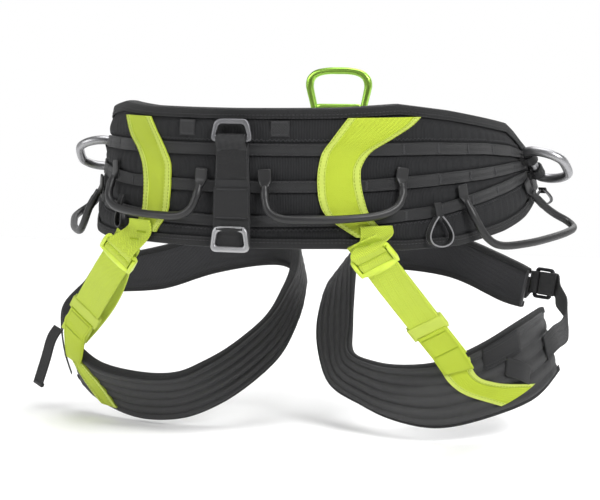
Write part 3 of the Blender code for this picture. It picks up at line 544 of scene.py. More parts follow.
def mesh_cloth(name, colour):
    """Open spacer mesh: staggered round holes in a knitted face, with painted shade in the holes."""
    m = Cloth(name, colour, 0.85)
    a = m.ridges(m.x, 2.6)
    b = m.ridges(m.y, 2.2)
    c = m.ridges(m.x, 2.6, math.pi)
    d = m.ridges(m.y, 2.2, math.pi)
    holes = m.maths("MAXIMUM", m.maths("MULTIPLY", a, b), m.maths("MULTIPLY", c, d))
    grain = m.noise(1.1, 2.0)
    # Painted shade: the holes get a near-black base colour for the shade inside them, since the geometry
    # has no real holes.
    depth = m.maths("SUBTRACT", 1.0, m.maths("MULTIPLY", m.maths("GREATER_THAN", holes, 0.5), 0.9))
    tone = m.maths("MULTIPLY", depth, m.maths("ADD", grain, 0.4))
    m.base(m.shades(tone, scaled(colour, 0.25), scaled(colour, 2.0)))
    m.bump(m.maths("SUBTRACT", 1.0, holes), 0.7, 0.6)
    m.sheen(0.1)
    return m.material


def hook_cloth(name, colour):
    """Dense loop pile of a closure patch."""
    m = Cloth(name, colour, 0.95)
    fuzz = m.noise(1.7, 4.0, 0.7)
    coarse = m.noise(0.5, 2.0)
    tone = m.maths("MULTIPLY", fuzz, m.maths("ADD", coarse, 0.5))
    m.base(m.shades(tone, scaled(colour, 0.4), scaled(colour, 2.6), 0.2, 0.8))
    m.bump(fuzz, 0.9, 0.9)
    m.sheen(0.2, 0.6)
    return m.material


def metal(name, colour, low=0.28, high=0.5, brushed=(1.0, 1.0, 1.0), spots=0.25, object_space=False):
    """Anodised or cast metal with a fine bead-blasted grain and rubbed places."""
    m = Cloth(name, colour, 0.35, 1.0, object_space)
    grain = m.noise(2.2, 3.0, 0.6, brushed)
    cloud = m.noise(0.08, 3.0, 0.55)
    tone = m.maths("MULTIPLY_ADD", cloud, spots * 2.0)
    tone.node.inputs[2].default_value = 0.5 - spots
    m.base(m.shades(tone, scaled(colour, 0.78), scaled(colour, 1.22)))
    both = m.maths("MULTIPLY_ADD", grain, 0.5)
    m.tree.links.new(m.maths("MULTIPLY", cloud, 0.5), both.node.inputs[2])
    m.roughness(both, low, high)
    m.bump(grain, 0.12, 0.12)
    return m.material


def plastic(name, colour, low=0.32, high=0.5, object_space=False, grain_size=2.4):
    """Moulded plastic with a fine spark texture."""
    m = Cloth(name, colour, 0.4, 0.0, object_space)
    grain = m.noise(grain_size, 3.0, 0.6)
    cloud = m.noise(0.05, 2.0)
    m.base(m.shades(cloud, scaled(colour, 0.85), scaled(colour, 1.2), 0.3, 0.7))
    m.roughness(grain, low, high)
    m.bump(grain, 0.25, 0.1)
    return m.material


def thread(name, colour):
    """Twisted sewing thread."""
    m = Cloth(name, colour, 0.6)
    twist = m.ridges(m.maths("ADD", m.x, m.y), 0.5)
    m.base(m.shades(twist, scaled(colour, 0.7), scaled(colour, 1.25)))
    m.sheen(0.05)
    return m.material


BLACK = (0.0130, 0.0132, 0.0142)
BLACK_WEB = (0.0165, 0.0167, 0.0178)
LEG_BLACK = (0.0240, 0.0240, 0.0250)
GREEN = (0.52, 0.645, 0.034)
GREEN_LIGHT = (0.73, 0.86, 0.15)
GREEN_STRAP = (0.53, 0.66, 0.050)

LOOK = {
    "belt": ribbed_cloth("belt_laminate", BLACK, 1.5),
    "leg": ribbed_cloth("leg_laminate", LEG_BLACK, 1.1, 0.46, 0.5),
    "web": webbing("black_herringbone", BLACK_WEB),
    "web_fine": webbing("black_fine_webbing", scaled(BLACK_WEB, 0.8), 1.4, 0.6, 0.6, 2.4, 1.1),
    "binding": webbing("black_binding_tape", scaled(BLACK_WEB, 0.72), 1.35, 0.65, 0.7, 1.1, 1.0),
    "mesh": mesh_cloth("spacer_mesh", (0.026, 0.026, 0.028)),
    "hook": hook_cloth("closure_pile", (0.0055, 0.0055, 0.006)),
    "label": webbing("woven_label", (0.0125, 0.0125, 0.0135), 1.2, 0.8, 0.6, 0.9, 0.9),
    "green": webbing("green_trim_cloth", GREEN, 1.12, 0.74, 0.6, 1.6, 1.6),
    "green_edge": webbing("green_edge_tape", GREEN_LIGHT, 1.06, 0.9, 0.6, 1.0, 0.8),
    "green_web": webbing("green_webbing", GREEN_STRAP, 1.22, 0.50, 0.55, 4.0, 2.3),
    "green_elastic": webbing("green_elastic", (0.60, 0.73, 0.09), 1.08, 0.80, 0.65, 0.8, 1.4),
    "green_plastic": plastic("green_moulding", (0.56, 0.70, 0.05), 0.28, 0.42),
    "black_plastic": plastic("black_moulding", (0.0105, 0.0105, 0.0112), 0.36, 0.52),
    "grey_metal": metal("satin_aluminium", (0.34, 0.34, 0.35)),
    "cast_metal": metal("cast_ring_metal", (0.20, 0.20, 0.21), 0.35, 0.6),
    "light_metal": metal("light_ring_metal", (0.40, 0.40, 0.41), 0.35, 0.55),
    "light_metal_tape": webbing("grey_edge_tape", (0.30, 0.30, 0.31), 1.3, 0.75, 0.5, 0.8, 0.7),
    "dark_metal": metal("dark_buckle_metal", (0.035, 0.035, 0.038), 0.3, 0.5),
    "green_metal": metal("green_anodising", (0.36, 0.62, 0.10), 0.24, 0.42, (1.0, 1.0, 1.0), 0.15),
    "thread": thread("black_thread", (0.055, 0.055, 0.058)),
    "thread_green": thread("green_thread", (0.36, 0.47, 0.02)),
}


# ================================================================ stitching
class Threads:
    """Collects stitches of one colour on one body and makes them one piece."""

    def __init__(self, name, look, body):
        self.name, self.look, self.body = name, look, body
        self.points, self.faces, self.uvs = [], [], []

    def one(self, a, b, up, radius):
        """One stitch: a short rounded bar from a to b."""
        a, b = np.asarray(a, float), np.asarray(b, float)
        along = b - a
        length = float(np.linalg.norm(along))
        if length < 1e-6:
            return
        along = along / length
        side = unit(np.cross(along, up))
        lift = np.cross(side, along)
        start = len(self.points)
        for s, size in ((0.0, 0.35), (0.16, 1.0), (0.84, 1.0), (1.0, 0.35)):
            centre = a + along * length * s
            for k in range(5):
                turn = 2.0 * math.pi * k / 5.0
                offset = side * math.cos(turn) + lift * math.sin(turn)
                self.points.append(centre + offset * radius * size)
                self.uvs.append((length * s, k * radius))
        for r in range(3):
            for k in range(5):
                m = (k + 1) % 5
                i, j = start + r * 5, start + (r + 1) * 5
                self.faces.append((i + k, i + m, j + m, j + k))
        self.faces.append(tuple(start + k for k in range(4, -1, -1)))
        self.faces.append(tuple(start + 15 + k for k in range(5)))

    def row(self, points, up, stitch=2.8, gap=1.1, radius=0.28):
        """Running stitches along a line of points."""
        points = [np.asarray(p, float) for p in points]
        steps = [float(np.linalg.norm(b - a)) for a, b in zip(points, points[1:])]
        walk = np.concatenate([[0.0], np.cumsum(steps)])
        table = np.array(points)
        total = walk[-1]
        count = max(1, int(total / (stitch + gap)))
        pitch = total / count
        for k in range(count):
            ends = []
            for s in (k * pitch, k * pitch + pitch * stitch / (stitch + gap)):
                ends.append(np.array([np.interp(s, walk, table[:, c]) for c in range(3)]))
            normal = up(ends[0]) if callable(up) else up
            self.one(ends[0], ends[1], normal, radius)

    def zigzag(self, points, ups, width, pitch=2.0, radius=0.26):
        """Zigzag seam along a line with a normal at each point."""
        points = [np.asarray(p, float) for p in points]
        steps = [float(np.linalg.norm(b - a)) for a, b in zip(points, points[1:])]
        walk = np.concatenate([[0.0], np.cumsum(steps)])
        table, normals = np.array(points), np.array(ups)
        count = max(2, int(walk[-1] / pitch))
        marks = []
        for k in range(count + 1):
            s = walk[-1] * k / count
            p = np.array([np.interp(s, walk, table[:, c]) for c in range(3)])
            n = unit([np.interp(s, walk, normals[:, c]) for c in range(3)])
            q = np.array([np.interp(min(s + 0.5, walk[-1]), walk, table[:, c]) for c in range(3)])
            r = np.array([np.interp(max(s - 0.5, 0.0), walk, table[:, c]) for c in range(3)])
            side = np.cross(unit(q - r), n)
            marks.append((p + side * width * (0.5 if k % 2 else -0.5), n))
        for (a, n), (b, _) in zip(marks, marks[1:]):
            self.one(a, b, n, radius)

    def tack(self, centre, along, across, up, length, width, radius=0.26):
        """Bar tack: a tight block of short stitches."""
        count = max(4, int(length / 0.62))
        for k in range(count):
            s = (k + 0.5) / count - 0.5
            lean = 0.25 * width / count * (1 if k % 2 else -1)
            a = centre + along * (length * s + lean) - across * width / 2
            b = centre + along * (length * s - lean) + across * width / 2
            self.one(a, b, up, radius)

    def make(self):
        """Make the collected stitches one piece."""
        if self.points:
            finish_mesh(self.name, self.points, self.faces, self.uvs, LOOK[self.look], self.body)


SEWN = {
    "belt": Threads("belt_stitching", "thread", "harness"),
    "belt_green": Threads("belt_trim_stitching", "thread_green", "harness"),
    "leg_right": Threads("leg_stitching_right", "thread", "leg_loop_right"),
    "leg_left": Threads("leg_stitching_left", "thread", "leg_loop_left"),
    "leg_green_right": Threads("leg_trim_stitching_right", "thread_green", "leg_loop_right"),
    "leg_green_left": Threads("leg_trim_stitching_left", "thread_green", "leg_loop_left"),
}


def belt_row(key, us, vs, depth, stitch=2.8, gap=1.1, radius=0.28):
    """Running stitches on the belt through lists of u and v."""
    points = [belt_point(u, v, depth) for u, v in zip(us, vs)]
    normals = [belt_frame(u, v)[2] for u, v in zip(us, vs)]
    table = np.array(points)

    def up(p):
        return normals[int(np.argmin(((table - p) ** 2).sum(axis=1)))]

    SEWN[key].row(points, up, stitch, gap, radius)


# ================================================================ filling
INFLATION = 120.0
SETTLE_FRAMES = 20
CLOTH_MASS = 0.002
SHELL_SWELL_CAP = 0.9
PAD_SWELL_CAP = 1.2


def inflate(piece, free, cap):
    """Blow the free faces of a padded piece out from their pinned seams, by at most cap."""
    scene = bpy.context.scene
    mesh = piece.data
    rest = np.empty(len(mesh.vertices) * 3)
    mesh.vertices.foreach_get("co", rest)
    rest = rest.reshape(-1, 3)
    group = piece.vertex_groups.new(name="seams")
    group.add([i for i, f in enumerate(free) if not f], 1.0, "REPLACE")
    run = piece.modifiers.new("filling", "CLOTH")
    run.settings.quality = 6
    run.settings.mass = CLOTH_MASS
    run.settings.tension_stiffness = 12.0
    run.settings.compression_stiffness = 4.0
    run.settings.shear_stiffness = 4.0
    run.settings.bending_stiffness = 0.4
    run.settings.vertex_group_mass = "seams"
    run.settings.use_pressure = True
    run.settings.uniform_pressure_force = INFLATION
    run.settings.effector_weights.gravity = 0.0
    run.collision_settings.use_collision = False
    run.point_cache.frame_start = 1
    run.point_cache.frame_end = SETTLE_FRAMES
    for step in range(1, SETTLE_FRAMES + 1):
        scene.frame_set(step)
    shape = piece.evaluated_get(bpy.context.evaluated_depsgraph_get())
    settled = np.empty(len(mesh.vertices) * 3)
    shape.data.vertices.foreach_get("co", settled)
    move = settled.reshape(-1, 3) - rest
    length = np.linalg.norm(move, axis=1)
    move *= np.minimum(1.0, cap * MM / np.maximum(length, 1e-9))[:, None]
    piece.modifiers.remove(run)
    piece.vertex_groups.remove(group)
    scene.frame_set(1)
    mesh.vertices.foreach_set("co", (rest + move).reshape(-1))
    mesh.update()


# ================================================================ waist belt
def ripple(u, v, size):
    """Slight unevenness of filled cloth."""
    return size * (0.5 * math.sin(u * 0.083 + 1.3) * math.sin(v * 0.11 + 0.4)
                   + 0.3 * math.sin(u * 0.19 + v * 0.07) + 0.2 * math.sin(u * 0.37 - v * 0.23))


SHELL_BASE = 12.7


def shell_rows(u):
    """Heights and puff of the rows over the belt's face, panel by panel."""
    bottom, top = bottom_edge(u), top_edge(u)
    low = bottom + 9.5
    high = top - 9.5
    marks = [bottom + 1.5, low]
    for name in ("waist_band_lower", "waist_band_middle", "waist_band_upper"):
        a = min(max(band_edge(name, u, 0), low + 0.6), high - 0.6)
        b = min(max(band_edge(name, u, 1), low + 0.6), high - 0.6)
        marks += [a, b]
    marks += [high, top - 1.5]
    for i in range(1, len(marks)):
        marks[i] = max(marks[i], marks[i - 1] + 0.05)
    rows = []
    for i in range(len(marks) - 1):
        puffed = i in (1, 3, 5, 7)
        steps = 9 if puffed else 3
        span = marks[i + 1] - marks[i]
        for k in range(steps):
            s = k / steps
            puff = (4.0 * s * (1.0 - s)) ** 0.55 * min(span * 0.16, 2.7) if puffed else 0.0
            rows.append((marks[i] + span * s, puff))
    rows.append((marks[-1], 0.0))
    return rows


def waist_shell():
    """Padded belt shell with puffed panels between the webbing bands."""
    stations = np.linspace(-BELT_END + 1.0, BELT_END - 1.0, 201)
    rings, free = [], []
    for u in stations:
        rows = shell_rows(u)
        free += [puff > 0.02 and abs(u) < BELT_END - 8.0 for _, puff in rows] + [False] * 4
        ring = []
        for v, puff in rows:
            crease = 0.18 * puff * math.sin(u * 0.62 + v * 0.05)
            ring.append(belt_point(u, v, SHELL_BASE - 0.6 + puff + crease + ripple(u, v,
                                                                                   0.35) * (puff > 0)))
        low, high = rows[0][0], rows[-1][0]
        for s in (1.0, 0.67, 0.33, 0.0):
            ring.append(belt_point(u, low + (high - low) * s, 3.4))
        rings.append(ring)
    middle = shell_rows(0.0)
    across = [v for v, _ in middle] + [60.0, 20.0, -20.0, -60.0]
    piece = loft("waist_shell_padded", rings, LOOK["belt"], "harness", False, across)
    inflate(piece, free, SHELL_SWELL_CAP)
    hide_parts("waist_shell")


def waist_lining():
    """Spacer mesh face toward the wearer with moulded pads and air channels."""
    stations = np.linspace(-BELT_END + 2.0, BELT_END - 2.0, 181)
    shares = np.linspace(0.0, 1.0, 23)
    rings = []
    for u in stations:
        low, high = bottom_edge(u) + 2.6, top_edge(u) - 2.6
        ring = []
        for s in shares:
            v = low + (high - low) * s
            channel = math.exp(-((((u + 30.0) % 60.0) - 30.0) / 4.0) ** 2)
            slot = math.exp(-((s - 0.5) / 0.05) ** 2)
            puff = 2.2 * (4.0 * s * (1.0 - s)) ** 0.4 * (1.0 - 0.8 * max(channel, slot))
            ring.append(belt_point(u, v, 2.3 - puff))
        for s in (1.0, 0.5, 0.0):
            ring.append(belt_point(u, low + (high - low) * s, 2.9))
        rings.append(ring)
    across = [130.0 * s for s in shares] + [120.0, 60.0, 10.0]
    piece = loft("waist_lining_mesh", rings, LOOK["mesh"], "harness", False, across)
    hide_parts("waist_lining")


def binding(name, edge, inward):
    """Folded tape over an edge of the belt with two rows of stitches."""
    stations = np.linspace(-BELT_END, BELT_END, 181)
    rings = []
    profile = []
    for turn in np.linspace(-90.0, 90.0, 9):
        profile.append((1.9 * math.cos(math.radians(turn)), 6.6 + 7.9 * math.sin(math.radians(turn))))
    outer = [(-s, 14.3) for s in (1.6, 4.2, 6.8, 8.8)]
    tip = [(-9.4, 13.9), (-9.4, 13.3)]
    inner = [(-8.6, 13.2), (-2.0, 13.2), (-2.0, 0.0), (-8.6, 0.0), (-9.2, -0.3), (-9.2, -0.9)]
    back = [(-s, -1.4) for s in (8.6, 6.0, 2.5)]
    section = profile[:-1] + [(0.6, 14.2)] + outer + tip + inner + back
    for u in stations:
        rim = edge(u)
        ring = []
        for rise, n in section:
            ring.append(belt_point(u, rim - inward * rise * 0.9, n))
        rings.append(ring)
    piece = loft(name, rings, LOOK["binding"], "harness")
    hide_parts(name.replace("_tape", ""))
    us = np.linspace(-BELT_END + 4.0, BELT_END - 4.0, 240)
    for inset in (4.8, 7.6):
        belt_row("belt", us, [edge(u) + inward * inset for u in us], 14.5, 2.6, 1.2, 0.26)


def belt_webbing():
    """Three bands of webbing, tacked at intervals and swelling between the tacks."""
    tacks = [120.0 + 37.0 * k for k in range(6)]
    for name in BANDS:
        stations = list(np.linspace(-333.0, 333.0, 223))

        def place(u, s, h, name=name):
            low, high = band_edge(name, u, 0), band_edge(name, u, 1)
            v = (low + high) / 2 + s * (high - low) / 2
            swell = 0.0
            if abs(u) > tacks[0]:
                swell = 0.9 * abs(math.sin((abs(u) - tacks[0]) / 37.0 * math.pi)) ** 0.7
            return belt_point(u, v, 13.05 + h + swell * (h > 0.0) + ripple(u, v, 0.12))

        piece = strap(name + "_web", stations, place, 5.75, 1.6, LOOK["web"], "harness")
        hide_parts(name)
        for side in (-1.0, 1.0):
            for u in tacks:
                if u > 330.0:
                    continue
                low, high = band_edge(name, u, 0), band_edge(name, u, 1)
                middle = (low + high) / 2
                along, up, out = belt_frame(side * u, middle)
                SEWN["belt"].tack(belt_point(side * u, middle, 15.0), up, along, out, high - low - 2.0, 2.6)
        us = np.linspace(-330.0, 330.0, 220)
        for edge_side, inset in ((0, 1.3), (1, -1.3)):
            belt_row("belt", us, [band_edge(name, u, edge_side) + inset for u in us], 15.15, 2.4, 1.2, 0.22)


def belt_seams():
    """Zigzag seams along the laminate above and below the webbing bands."""
    us = np.linspace(-322.0, 322.0, 215)
    for name, side, offset in (("waist_band_upper", 1, 3.2), ("waist_band_lower", 0, -3.0)):
        points, normals = [], []
        for u in us:
            v = band_edge(name, u, side) + offset
            if v > top_edge(u) - 11.0 or v < bottom_edge(u) + 11.0:
                v = min(max(v, bottom_edge(u) + 11.0), top_edge(u) - 11.0)
            points.append(belt_point(u, v, 14.15))
            normals.append(belt_frame(u, v)[2])
        SEWN["belt"].zigzag(points, normals, 2.4, 2.1, 0.24)


def waist_patches():
    """Small squares of webbing sewn down along their top and bottom."""
    for word, centre in (("left", -47.0), ("right", 42.5)):
        stations = list(np.linspace(40.5, 55.5, 9))

        def place(v, s, h, centre=centre):
            lift = 0.5 * math.sin((v - 40.5) / 15.0 * math.pi)
            return belt_point(centre + 8.5 * s, v, 14.0 + h + lift * (h > 0))

        piece = strap("waist_patch_%s_web" % word, stations, place, 8.5, 1.5, LOOK["web"], "harness")
        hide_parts("waist_patch_" + word)
        along, up, out = belt_frame(centre, 48.0)
        for v in (42.2, 53.8):
            SEWN["belt"].tack(belt_point(centre, v, 15.6), along, up, out, 15.0, 1.5, 0.22)


def trim_at(rows, s, t, depth):
    """Point on a shaped belt trim: s down it, t from its inner to its outer edge."""
    table = [np.array(r) for r in rows]
    near, far, v = cubic(table, s * (len(rows) - 1))
    return belt_point(near + (far - near) * t, v, depth)


def belt_trims():
    """Shaped green panels with a lighter sewn tape down each edge."""
    for word, rows in (("right", TRIM_RIGHT), ("left", TRIM_LEFT)):
        down = np.linspace(0.0, 1.0, 91)
        cols = np.linspace(0.0, 1.0, 15)
        rings = []
        for s in down:
            ring = []
            for t in cols:
                edge = min(t, 1.0 - t)
                drop = 1.1 * max(0.0, 1.0 - edge / 0.03)
                wave = 0.30 * math.sin(s * 23.0 + t * 6.0) * math.sin(t * math.pi)
                ring.append(trim_at(rows, s, t, 16.3 - drop + wave))
            for t in (1.0, 0.75, 0.5, 0.25, 0.0):
                ring.append(trim_at(rows, s, t, 14.6))
            rings.append(ring)
        across = [45.0 * t for t in cols] + [40.0, 30.0, 20.0, 10.0, 0.0]
        piece = loft("belt_trim_%s_cloth" % word, rings, LOOK["green"], "harness", False, across)
        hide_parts("belt_trim_" + word)
        for edge_name, at in (("inner", 0.0), ("outer", 1.0)):
            stations = list(np.linspace(0.004, 0.996, 100))

            def place(s, a, h, rows=rows, at=at):
                near = trim_at(rows, s, 0.0, 16.0)
                far = trim_at(rows, s, 1.0, 16.0)
                span = float(np.linalg.norm(far - near))
                width = 7.6 / span
                t = (width * (a * 0.5 + 0.5)) if at == 0.0 else 1.0 - width * (0.5 - a * 0.5)
                wave = 0.30 * math.sin(s * 23.0 + t * 6.0) * math.sin(t * math.pi)
                return trim_at(rows, s, t, 16.25 + h + wave)

            strap("belt_trim_%s_%s_tape" % (word, edge_name), stations, place, 3.8, 0.75,
                  LOOK["green_edge"], "harness", lip=0.05)
            for inset in (0.18, 0.86):
                line = [place(s, inset * 2.0 - 1.0, 0.95) for s in np.linspace(0.01, 0.99, 90)]
                SEWN["belt_green"].row(line, belt_up, 2.4, 1.0, 0.34)


def belt_up(p):
    """Outward direction of the belt at a point."""
    return unit(np.array([p[0] / 210.0 ** 2, p[1] / 235.0 ** 2, 0.0]))


# ================================================================ back strap
def dorsal_strap():
    """Centre back webbing with its closure patch, label and small flap."""
    rows = ((34.5, 15.0), (10.0, 15.5), (-10.0, 16.5), (-42.0, 17.0), (-65.0, 17.0))
    vs = [r[0] for r in reversed(rows)]
    ws = [r[1] for r in reversed(rows)]
    stations = list(np.linspace(34.5, -64.0, 60))

    def place(v, s, h):
        half = float(np.interp(v, vs, ws))
        bow = 0.9 * math.sin((v - 34.0) / 98.0 * math.pi * 2.0) ** 2 * (h > 0.0)
        return belt_point(half * s, v, 17.0 + h + bow * 0.5)

    piece = strap("dorsal_strap_web", stations, place, 16.5, 1.7, LOOK["web"], "harness")
    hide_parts("dorsal_strap")
    hub = belt_point(0.0, 38.0, 21.2)
    along, up, out = belt_frame(0.0, 38.0)
    fold = [belt_point(0.0, 20.0, 19.2), belt_point(0.0, 29.0, 20.6),
            hub - up * 2.2 + out * 3.3, hub + up * 1.6 + out * 3.4, hub + up * 4.0,
            hub + up * 1.0 - out * 2.6, hub - up * 6.0 - out * 2.4]
    free_strap("dorsal_strap_fold", fold, [along] * 7, 30.0, 1.3, out, "web", "harness")
    patch = list(np.linspace(0.8, 30.8, 28))

    def patch_place(v, s, h):
        lift = 1.7 * float(np.interp(v, (14.0, 22.0), (0.0, 1.0)))
        return belt_point(14.0 * s, v, 19.1 + lift + h * (0.8 + 0.2 * math.sin(v * 2.1 + s * 9.0)))

    piece = strap("dorsal_closure_pile", patch, patch_place, 14.0, 1.4, LOOK["hook"], "harness")
    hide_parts("dorsal_closure_patch")
    label = list(np.linspace(-37.8, -8.2, 24))

    def label_place(v, s, h):
        return belt_point(16.6 * s, v, 19.2 + h + 0.35 * math.cos(s * 1.5))

    piece = strap("dorsal_label_cloth", label, label_place, 16.6, 1.0, LOOK["label"], "harness", lip=0.0)
    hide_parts("dorsal_label")
    for v in (-36.4, -9.6):
        along, up, out = belt_frame(0.0, v)
        SEWN["belt"].tack(belt_point(0.0, v, 20.6), along, up, out, 30.0, 1.4, 0.2)
    for s in (-15.2, 15.2):
        vs_row = np.linspace(-36.0, -10.0, 20)
        belt_row("belt", [s] * 20, vs_row, 20.5, 2.0, 1.0, 0.2)
    for s in (-1.0, 1.0):
        vs_row = np.linspace(33.0, -62.0, 60)
        us_row = [s * (float(np.interp(v, vs, ws)) - 1.4) for v in vs_row]
        belt_row("belt", us_row, vs_row, 19.3, 2.4, 1.2, 0.22)
    dorsal_flap()


def dorsal_flap():
    """Blank flap that fills the lower ring, with a stitched border."""
    rows = ((-66.5, 11.6), (-60.0, 12.9), (-50.5, 12.2), (-44.0, 12.0))

    def flap_place(v, s, h):
        half = float(np.interp(v, [r[0] for r in rows], [r[1] for r in rows]))
        rise = 3.6 * math.exp(-((v + 47.0) / 4.0) ** 2)
        return belt_point(half * s, v, 20.4 + rise + h)

    flap = list(np.linspace(-65.5, -44.0, 30))
    piece = strap("dorsal_ring_flap_cloth", flap, flap_place, 12.0, 1.3, LOOK["label"], "harness", lip=0.1)
    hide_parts("dorsal_ring_flap")
    for s in (-0.84, 0.84):
        line = [flap_place(v, s, 1.45) for v in np.linspace(-64.5, -51.0, 16)]
        SEWN["belt"].row(line, belt_up, 1.8, 0.8, 0.2)
    line = [flap_place(-64.3, s, 1.45) for s in np.linspace(-0.84, 0.84, 16)]
    SEWN["belt"].row(line, belt_up, 1.8, 0.8, 0.2)


def trapezoid(top, bottom, height, corner, segments=6):
    """Rounded trapezoid outline centred on its mid height, from bottom left."""
    corners = ((-bottom / 2, -height / 2), (bottom / 2, -height / 2),
               (top / 2, height / 2), (-top / 2, height / 2))
    points = []
    for i in range(4):
        here = np.array(corners[i])
        back = unit(np.array(corners[i - 1]) - here)[:2]
        ahead = unit(np.array(corners[(i + 1) % 4]) - here)[:2]
        for k in range(segments + 1):
            s = k / segments
            points.append(here + back * corner * (1.0 - s) ** 2 + ahead * corner * s ** 2)
    return points


def ring_plate(name, outline, hole, centre, right, up, out, thick, material, body, roundness=3.0):
    """Ring between two outlines with a softly rounded section."""
    outline, hole = np.asarray(outline, float), np.asarray(hole, float)
    rings = []
    for a, b in zip(outline, hole):
        middle, half = (a + b) / 2, (b - a) / 2
        ring = []
        for k in range(16):
            turn = 2.0 * math.pi * (k + 0.5) / 16
            c, s = math.cos(turn), math.sin(turn)
            c = math.copysign(abs(c) ** (2.0 / roundness), c)
            s = math.copysign(abs(s) ** (2.0 / roundness), s)
            p = middle + half * c
            ring.append(centre + right * p[0] + up * p[1] + out * s * thick / 2)
        rings.append(ring)
    return loft(name, rings, material, body, True)


def refine_outline(points, times=4):
    """Smooth closed outline with more points."""
    padded = [np.array([p[0], p[1], 0.0]) for p in points]
    return [p[:2] for p in smooth_path(padded, times, True)]


def dorsal_rings():
    """The two metal rings of the back strap."""
    along, up, out = belt_frame(0.0, 47.0)
    centre = belt_point(0.0, 46.5, 21.2)
    piece = ring_plate("dorsal_adjust_ring_cast", trapezoid(34.0, 43.0, 22.0, 7.0),
                       trapezoid(25.0, 32.5, 12.0, 3.5), centre, along, up, out, 4.4, LOOK["cast_metal"],
                       "dorsal_adjust_ring")
    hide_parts("dorsal_adjust_ring")
    along, up, out = belt_frame(0.0, -56.0)
    centre = belt_point(0.0, -56.5, 22.4)
    piece = ring_plate("dorsal_restraint_ring_cast", trapezoid(34.0, 40.0, 25.0, 7.0),
                       trapezoid(25.0, 30.0, 14.0, 3.5), centre, along, up, out, 5.0, LOOK["light_metal"],
                       "dorsal_restraint_ring")
    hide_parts("dorsal_restraint_ring")


# ================================================================ leg loops
LEG_CHANNELS = (0.13, 0.31, 0.49, 0.67, 0.85)


def channel_depth(share, soft):
    """Height of a padded band at a share of its width, between sewn channels."""
    marks = (0.0,) + LEG_CHANNELS + (1.0,)
    for a, b in zip(marks, marks[1:]):
        if a <= share <= b:
            s = (share - a) / (b - a)
            rise = (4.0 * s * (1.0 - s)) ** 0.5
            return soft * (0.05 + 0.95 * rise)
    return 0.0


def rear_share(place):
    """How much of the sewn channels shows at a station: none at the front part."""
    return float(np.clip((place - 11.0) / 5.0, 0.0, 1.0))


def leg_pad(word):
    """Padded outer of a leg loop with sewn channels and rolled edges."""
    places = np.linspace(0.0, LEG_COUNT - 1.0, 169)
    shares = np.linspace(0.0, 1.0, 43)
    rings, free = [], []
    for f in places:
        rear = rear_share(f)
        for share in shares:
            seam = rear > 0.3 and min(abs(share - c) for c in LEG_CHANNELS) < 0.016
            free.append(0.03 < share < 0.97 and 1.0 < f < LEG_COUNT - 2.0 and not seam)
        free += [False] * 4
        end = min(f, LEG_COUNT - 1.0 - f)
        taper = float(np.clip(end / 1.2, 0.0, 1.0)) ** 0.5
        ring = []
        for share in shares:
            edge = min(share, 1.0 - share)
            roll = float(np.clip(edge / 0.045, 0.0, 1.0)) ** 0.5
            quilt = channel_depth(share, 3.3)
            plain = 1.7 * (4.0 * share * (1.0 - share)) ** 0.5
            crease = 0.16 * math.sin(f * 5.1 + share * 9.0) + 0.1 * math.sin(f * 11.3)
            fill = 5.5 + rear * quilt + (1.0 - rear) * (plain + 0.6) + crease
            depth = 3.4 + fill * roll * (0.45 + 0.55 * taper)
            ring.append(band_at(word, f, share, depth))
        for share in (0.985, 0.66, 0.33, 0.015):
            ring.append(band_at(word, f, share, 3.2))
        rings.append(ring)
    across = [70.0 * s for s in shares] + [60.0, 45.0, 25.0, 10.0]
    piece = loft("leg_pad_%s_quilted" % word, rings, LOOK["leg"], "leg_loop_" + word, False, across)
    inflate(piece, free, PAD_SWELL_CAP)
    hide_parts("leg_pad_" + word)
    for share in LEG_CHANNELS:
        line = [band_at(word, f, share, 9.35) for f in np.linspace(15.0, 41.5, 120)]
        SEWN["leg_" + word].row(line, leg_up(word), 2.6, 1.2, 0.24)


def leg_up(word):
    """Outward direction of a leg band near a point."""
    low, high, normals = LEG_BANDS[word]
    middles = np.array([(a + b) / 2 for a, b in zip(low, high)])

    def up(p):
        return normals[int(np.argmin(((middles - p) ** 2).sum(axis=1)))]

    return up


def leg_lining(word):
    """Spacer mesh toward the thigh with a long channel."""
    places = np.linspace(0.15, LEG_COUNT - 1.15, 141)
    shares = np.linspace(0.02, 0.98, 25)
    rings = []
    for f in places:
        ring = []
        for share in shares:
            channel = sum(math.exp(-((share - c) / 0.022) ** 2) for c in (0.2, 0.8))
            puff = 1.9 * (4.0 * share * (1.0 - share)) ** 0.4 * (1.0 - 0.75 * min(channel, 1.0))
            ring.append(band_at(word, f, share, 2.4 - puff))
        for share in (0.98, 0.5, 0.02):
            ring.append(band_at(word, f, share, 3.1))
        rings.append(ring)
    across = [70.0 * s for s in shares] + [65.0, 35.0, 3.0]
    piece = loft("leg_lining_%s_mesh" % word, rings, LOOK["mesh"], "leg_loop_" + word, False, across)
    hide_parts("leg_lining_" + word)


